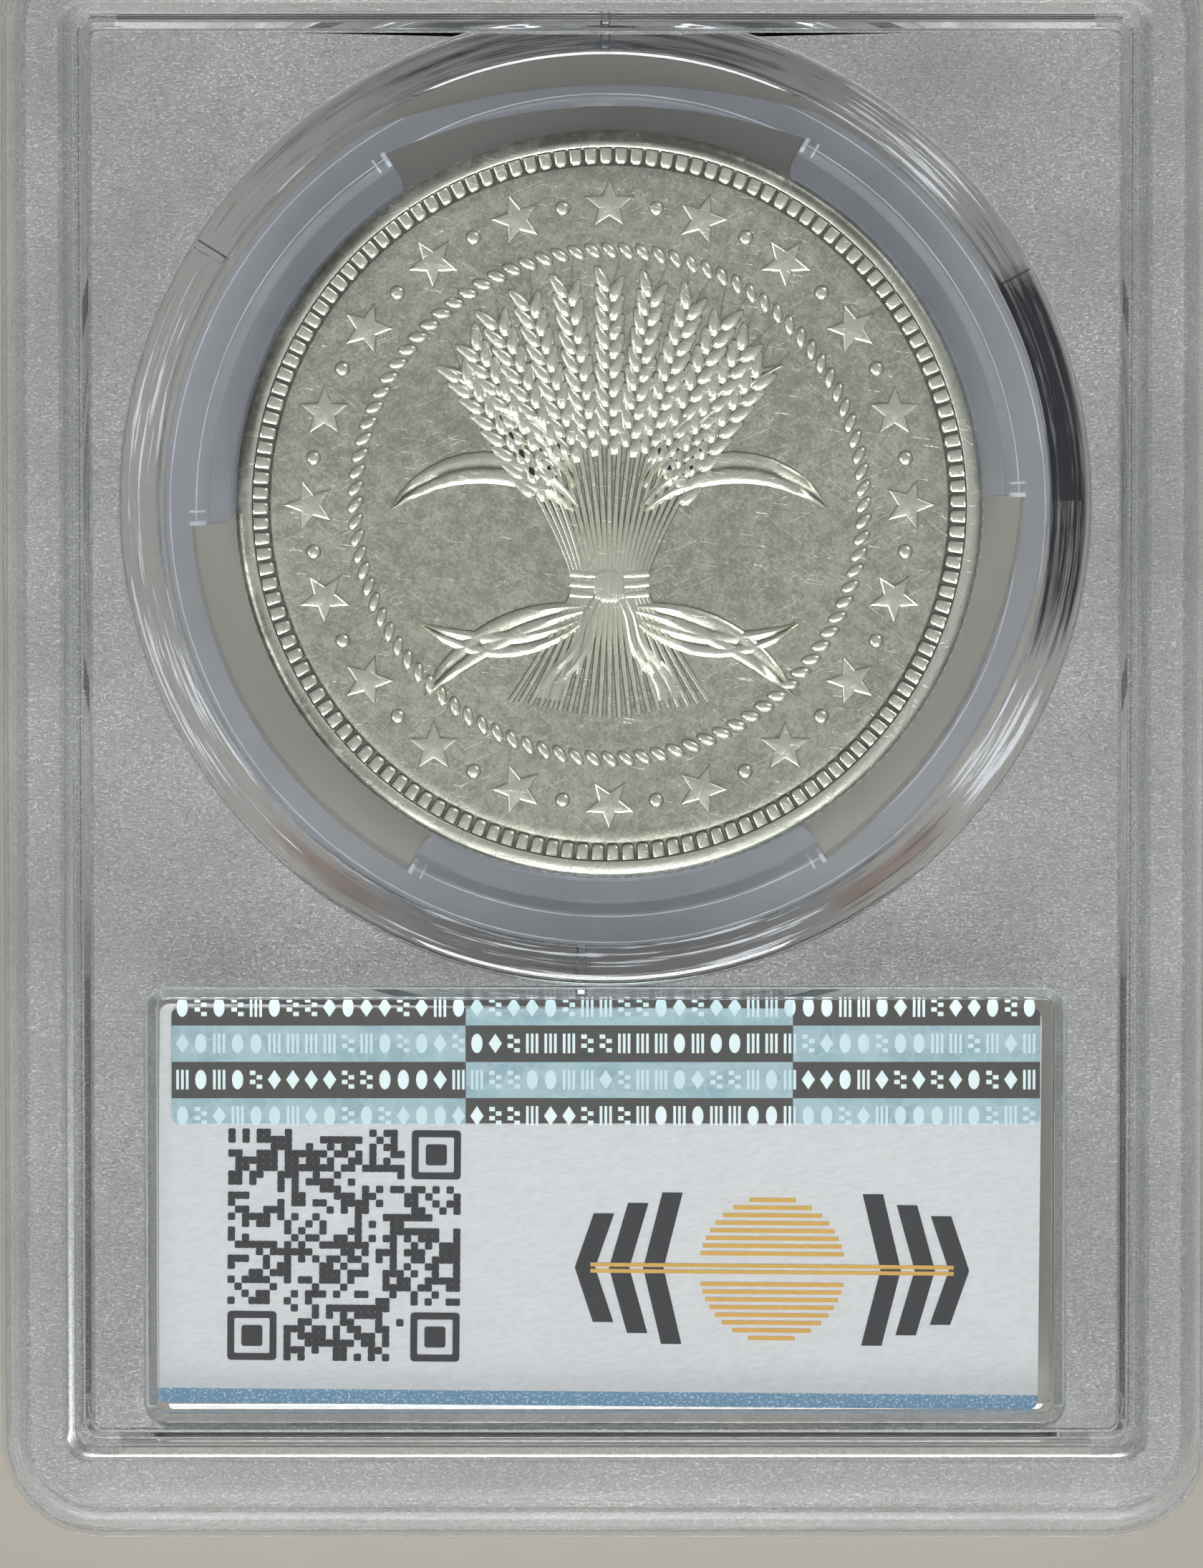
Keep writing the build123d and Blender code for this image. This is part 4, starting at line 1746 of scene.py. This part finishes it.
@dataclass
class LabelCard:
    """The printed card: random blocks, a geometric emblem and a foil strip of small marks."""

    stock: CardStock = CardStock()
    foil: PatternFoil = PatternFoil()
    charcoal: Ink = Ink("charcoal_ink", linear(14, 17, 22), linear(36, 41, 47))
    gold: Ink = Ink("gold_ink", linear(190, 150, 62), linear(206, 172, 92))
    ink_height: float = 0.012
    block_centre: Pair = (-13.38, -26.42)
    modules: int = 33
    block_size: float = 11.9
    block_fill: float = 0.47
    block_seed: int = 7
    strip_seed: int = 3
    line_seed: int = 11
    emblem_centre: Pair = (8.53, -27.65)

    def build(self) -> None:
        """Dress the card and the strip, and lay the prints on them."""
        dress("label_card", self.stock.material())
        dress("security_strip", self.foil.material())
        self.card_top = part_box("label_card")[1][2] / MM
        self.strip_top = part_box("security_strip")[1][2] / MM
        charcoal, gold = self.charcoal.material(), self.gold.material()
        self._blocks(charcoal)
        self._corner_squares(charcoal)
        self._emblem(charcoal, gold)
        self._marks(self.foil.marks())
        self._lower_side(charcoal, gold)

    def _place(self, centre: Pair, level: float) -> Matrix:
        """Give the change that lays a print on the card, turned as the card is."""
        turn = Matrix.Rotation(math.radians(self.stock.turn), 4, "Z")
        return Matrix.Translation((*centre, level)) @ turn

    @staticmethod
    def _rounded(half: float, round_: float) -> Outline:
        """Give the outline of a rounded square.

        Args:
            half: Half of its width.
            round_: The radius of its corners.

        Returns:
            The outline.
        """
        outline = []
        for quarter in range(4):
            for i in range(3):
                turn = math.pi / 2 * quarter + math.pi / 4 * i
                middle = ((half - round_) * (1 if quarter in (0, 3) else -1),
                          (half - round_) * (1 if quarter in (0, 1) else -1))
                outline.append((middle[0] + round_ * math.cos(turn),
                                middle[1] + round_ * math.sin(turn)))
        return outline

    def _square(self, half: float, round_: float, height: float) -> Form:
        """Make a low rounded square."""
        return printed(self._rounded(half, round_), height)

    def _blocks(self, charcoal: Material) -> None:
        """Print the square of random blocks.

        Args:
            charcoal: The charcoal ink.
        """
        module = self.block_size / self.modules
        block = template("block", self._square(module * 0.53, module * 0.2, self.ink_height), 60.0)
        span = self.block_size - module
        mesh = block_growth().grown(bpy.data.meshes.new("block_host"), "card_blocks", {
            "Modules": self.modules, "Size": span * MM, "Corner": (span / 2 - 7.6 * module) * MM,
            "Fill": self.block_fill, "Seed": self.block_seed, "Shape": block,
            "Material": charcoal})
        change = self._place(self.block_centre, self.card_top)
        change.translation *= MM
        mesh.transform(change)
        piece("card_blocks", mesh, charcoal, Slot.PAPER)
        drop(block)

    def _corner_squares(self, charcoal: Material) -> None:
        """Print a framed square in three corners of the block print.

        Args:
            charcoal: The charcoal ink.
        """
        module = self.block_size / self.modules
        print_ = Form()
        at = self.block_size / 2 - 3.5 * module
        for x, y in ((at, at), (at, -at), (-at, -at)):
            middle = Matrix.Translation((x, y, 0.0))
            print_.add(self._square(1.5 * module, 0.35 * module, self.ink_height).moved(middle))
            frame_ = hollow(self._rounded(3.5 * module, 0.5 * module),
                            self._rounded(2.5 * module, 0.2 * module), self.ink_height)
            print_.add(frame_.moved(middle))
        place = self._place(self.block_centre, self.card_top)
        mesh = print_.moved(place).mesh("card_corner_squares")
        piece("card_corner_squares", mesh, charcoal, Slot.PAPER)

    def _emblem(self, charcoal: Material, gold: Material) -> None:
        """Print a ruled gold disc between charcoal chevrons, crossed by two fine gold lines.

        Args:
            charcoal: The charcoal ink.
            gold: The gold ink.
        """
        dark, bright = Form(), Form()
        for side in (-1, 1):
            for i in range(3):
                near = 4.6 + 1.75 * i
                bar = [(near, -3.9 + 0.55 * i), (near + 1.05, -3.9 + 0.55 * i), (near + 2.0, 0.0),
                       (near + 1.05, 3.9 - 0.55 * i), (near, 3.9 - 0.55 * i), (near + 0.95, 0.0)]
                chevron = printed(bar, self.ink_height)
                turn = Matrix.Rotation(0.0 if side > 0 else math.pi, 4, "Z")
                dark.add(chevron.moved(turn))
        bright.add(self._ruled_disc(3.75, 19))
        for y in (-0.16, 0.16):
            bright.add(printed(oblong(0.0, y, 9.3, 0.1), self.ink_height + 0.004))
        place = self._place(self.emblem_centre, self.card_top)
        piece("card_chevrons", dark.moved(place).mesh("card_chevrons"), charcoal, Slot.PAPER)
        piece("card_ruled_disc", bright.moved(place).mesh("card_ruled_disc"), gold, Slot.PAPER)

    def _ruled_disc(self, reach: float, lines: int) -> Form:
        """Rule a disc with lines that leave its middle open.

        Args:
            reach: The disc's radius.
            lines: How many lines would fill it.

        Returns:
            The lines.
        """
        made = Form()
        for i in (i for i in range(lines) if abs(i - lines // 2) > 1):
            y = -reach + (i + 0.5) * 2 * reach / lines
            half = math.sqrt(max(reach ** 2 - y ** 2, 0.01))
            made.add(printed(oblong(0.0, y, half, 0.11), self.ink_height))
        return made

    def _marks(self, pale: Material) -> None:
        """Print small marks in rows on the foil strip.

        Args:
            pale: The marks' ink.
        """
        low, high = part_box("security_strip")
        middle = ((low[0] + high[0]) / 2 / MM, (low[1] + high[1]) / 2 / MM + 0.23, self.strip_top)
        self._rows("strip_marks", middle, ((high[0] - low[0]) / MM - 1.1, 1.86 * 3), (47, 4),
                   self.strip_seed, self._mark_shapes(0.34, 0.5), pale, Slot.FOIL)

    def _mark_shapes(self, half: float, tall: float) -> list[Form]:
        """Shape the plain marks that rows of print are filled with.

        Args:
            half: Half of a mark's width.
            tall: Half of its height.

        Returns:
            An oval, three bars, a lozenge and four small blocks.
        """
        top = self.ink_height
        disc = oval(half * 0.85, tall, 16)
        bars, blocks = Form(), Form()
        for x in (-0.72 * half, 0.0, 0.72 * half):
            bars.add(printed(oblong(x, 0.0, half * 0.2, tall), top))
        point = [(0.0, -tall), (half, 0.0), (0.0, tall), (-half, 0.0)]
        for x, y in ((-0.5, 0.7), (0.5, 0.24), (-0.5, -0.24), (0.5, -0.7)):
            blocks.add(printed(oblong(half * x, tall * y, half * 0.42, tall * 0.22), top))
        return [printed(disc, top), bars, printed(point, top), blocks]

    def _rows(self, name: str, middle: Point, size: Pair, counts: tuple[int, int],
              seed: int, shapes: list[Form], ink: Material, slot: Slot,
              below: bool = False) -> None:
        """Print rows of marks drawn from a few shapes.

        Args:
            name: The print's name.
            middle: Its middle point.
            size: How far its marks' middles spread along x and y.
            counts: How many columns and rows it has.
            seed: The seed of the draw.
            shapes: The four marks.
            ink: Its ink.
            slot: The material slot; a paper print is turned with the card.
            below: Whether it is on the card's lower side.
        """
        marks = [template(f"{name}_{i}", shape) for i, shape in enumerate(shapes)]
        mesh = row_growth().grown(bpy.data.meshes.new(f"{name}_host"), name, {
            "Columns": counts[0], "Rows": counts[1], "Width": size[0] * MM, "Depth": size[1] * MM,
            "Seed": seed, "First": marks[0], "Second": marks[1], "Third": marks[2],
            "Fourth": marks[3], "Material": ink})
        place = Matrix.Translation(Vector(middle) * MM) @ Matrix.Rotation(
            math.radians(self.stock.turn) if slot is Slot.PAPER else 0.0, 4, "Z")
        mesh.transform(place @ Matrix.Rotation(math.pi, 4, "Y") if below else place)
        piece(name, mesh, ink, slot)
        drop(*marks)

    def _lower_side(self, charcoal: Material, gold: Material) -> None:
        """Print three lines of plain marks and a ruled disc on the card's lower side.

        Args:
            charcoal: The charcoal ink.
            gold: The gold ink.
        """
        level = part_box("label_card")[0][2] / MM
        x, y = self.stock.centre
        for line, (columns, tall) in enumerate(((19, 0.95), (27, 0.62), (23, 0.62))):
            shapes = self._mark_shapes(tall * 0.62, tall)
            span = (columns - 1) * tall * 1.75
            middle = (x + 18.5 - span / 2, y + 4.6 - 4.1 * line, level)
            self._rows(f"card_front_line_{line}", middle, (span, 0.0), (columns, 1),
                       self.line_seed + line, shapes, charcoal, Slot.PAPER, True)
        disc = self._ruled_disc(3.2, 15)
        place = self._place((x - 15.5, y + 0.2), level) @ Matrix.Rotation(math.pi, 4, "Y")
        piece("card_front_disc", disc.moved(place).mesh("card_front_disc"), gold, Slot.PAPER)


# ---------------------------------------------------------------- the table, the lamps, the camera


@dataclass
class Studio:
    """The pale table, the soft lamps and the camera."""

    table: Colour = linear(176, 170, 160)
    horizon: Colour = (0.12, 0.125, 0.135)
    zenith: Colour = (0.335, 0.34, 0.35)
    lens: float = 250.0
    sensor: float = 36.0
    view_height: float = 79.6
    aim: Pair = (-0.2, -2.56)
    tilt: float = 4.0

    def build(self) -> None:
        """Build the table, the lamps, the surroundings and the camera."""
        self._table()
        self._surroundings()
        self._lamp("key_panel", (0.0, -0.75, 0.62), (0.55, 0.30), 7.9)
        self._lamp("left_panel", (-0.80, -0.33, 0.66), (0.3, 0.3), 1.6)
        self._lamp("right_panel", (0.62, 0.68, 0.66), (0.3, 0.3), 1.4)
        self._camera()

    def _table(self) -> None:
        """Lay the table."""
        mesh = bpy.data.meshes.new("table")
        reach = 1.5
        mesh.from_pydata([(-reach, -reach, 0.0), (reach, -reach, 0.0), (reach, reach, 0.0),
                          (-reach, reach, 0.0)], [], [(0, 1, 2, 3)])
        g = Graph("table_paper")
        mottle = g.noise((3.0, 3.0, 3.0), detail=3.0)
        light = tuple(min(c * 1.05, 1.0) for c in self.table)
        mesh.materials.append(g.finish(g.shader(g.mixed(self.table, light, mottle), 0.8)))
        table = bpy.data.objects.new("table", mesh)
        bpy.context.scene.collection.objects.link(table)

    def _surroundings(self) -> None:
        """Set the plain surroundings, pale overhead and dimmer towards the horizon."""
        g = Graph("surroundings", of_world=True)
        towards = g.node("ShaderNodeTexCoord").outputs["Generated"]
        height = g.term("ShaderNodeSeparateXYZ", None, {0: towards}, "Z")
        colour = g.mixed(self.horizon, self.zenith, height.most(0.0))
        background = g.node("ShaderNodeBackground", None, {"Color": colour, "Strength": 1.0})
        bpy.context.scene.world = g.finish(background.outputs[0])

    @staticmethod
    def _lamp(name: str, place: Point, size: Pair, power: float) -> None:
        """Hang a soft panel that faces the slab.

        Args:
            name: The lamp's name.
            place: Its place in metres.
            size: Its width and height in metres.
            power: Its power in watts.
        """
        light = bpy.data.lights.new(name, "AREA")
        light.shape = "RECTANGLE"
        light.size, light.size_y = size
        light.energy = power
        lamp = bpy.data.objects.new(name, light)
        lamp.location = place
        lamp.rotation_euler = (-Vector(place)).to_track_quat("-Z", "Y").to_euler()
        bpy.context.scene.collection.objects.link(lamp)

    def _camera(self) -> None:
        """Set the camera over the slab's back, with the coin end of the slab upwards."""
        low, high = CAD_BOX
        middle = Vector(((low[0] + high[0]) / 2, (low[1] + high[1]) / 2, high[2]))
        target = middle + Vector((*self.aim, 0.0)) * MM
        away = self.lens / self.sensor * self.view_height * MM
        lean = math.radians(self.tilt)
        camera = bpy.data.cameras.new("slab_camera")
        camera.lens = self.lens
        camera.sensor_width = self.sensor
        camera.clip_start = 0.01
        seen = bpy.data.objects.new("slab_camera", camera)
        seen.matrix_world = (Matrix.Translation(target)
                             @ Matrix.Rotation(-lean, 4, "X")
                             @ Matrix.Translation((0.0, 0.0, away)))
        bpy.context.scene.collection.objects.link(seen)
        bpy.context.scene.camera = seen


def main() -> None:
    """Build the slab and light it."""
    logging.basicConfig(level=logging.INFO, format="%(name)s %(message)s", stream=sys.stdout)
    bpy.context.scene.view_settings.view_transform = "Standard"
    Studio().build()
    ClearCase().build()
    Coin().build()
    LabelCard().build()


if __name__ == "__main__":
    main()
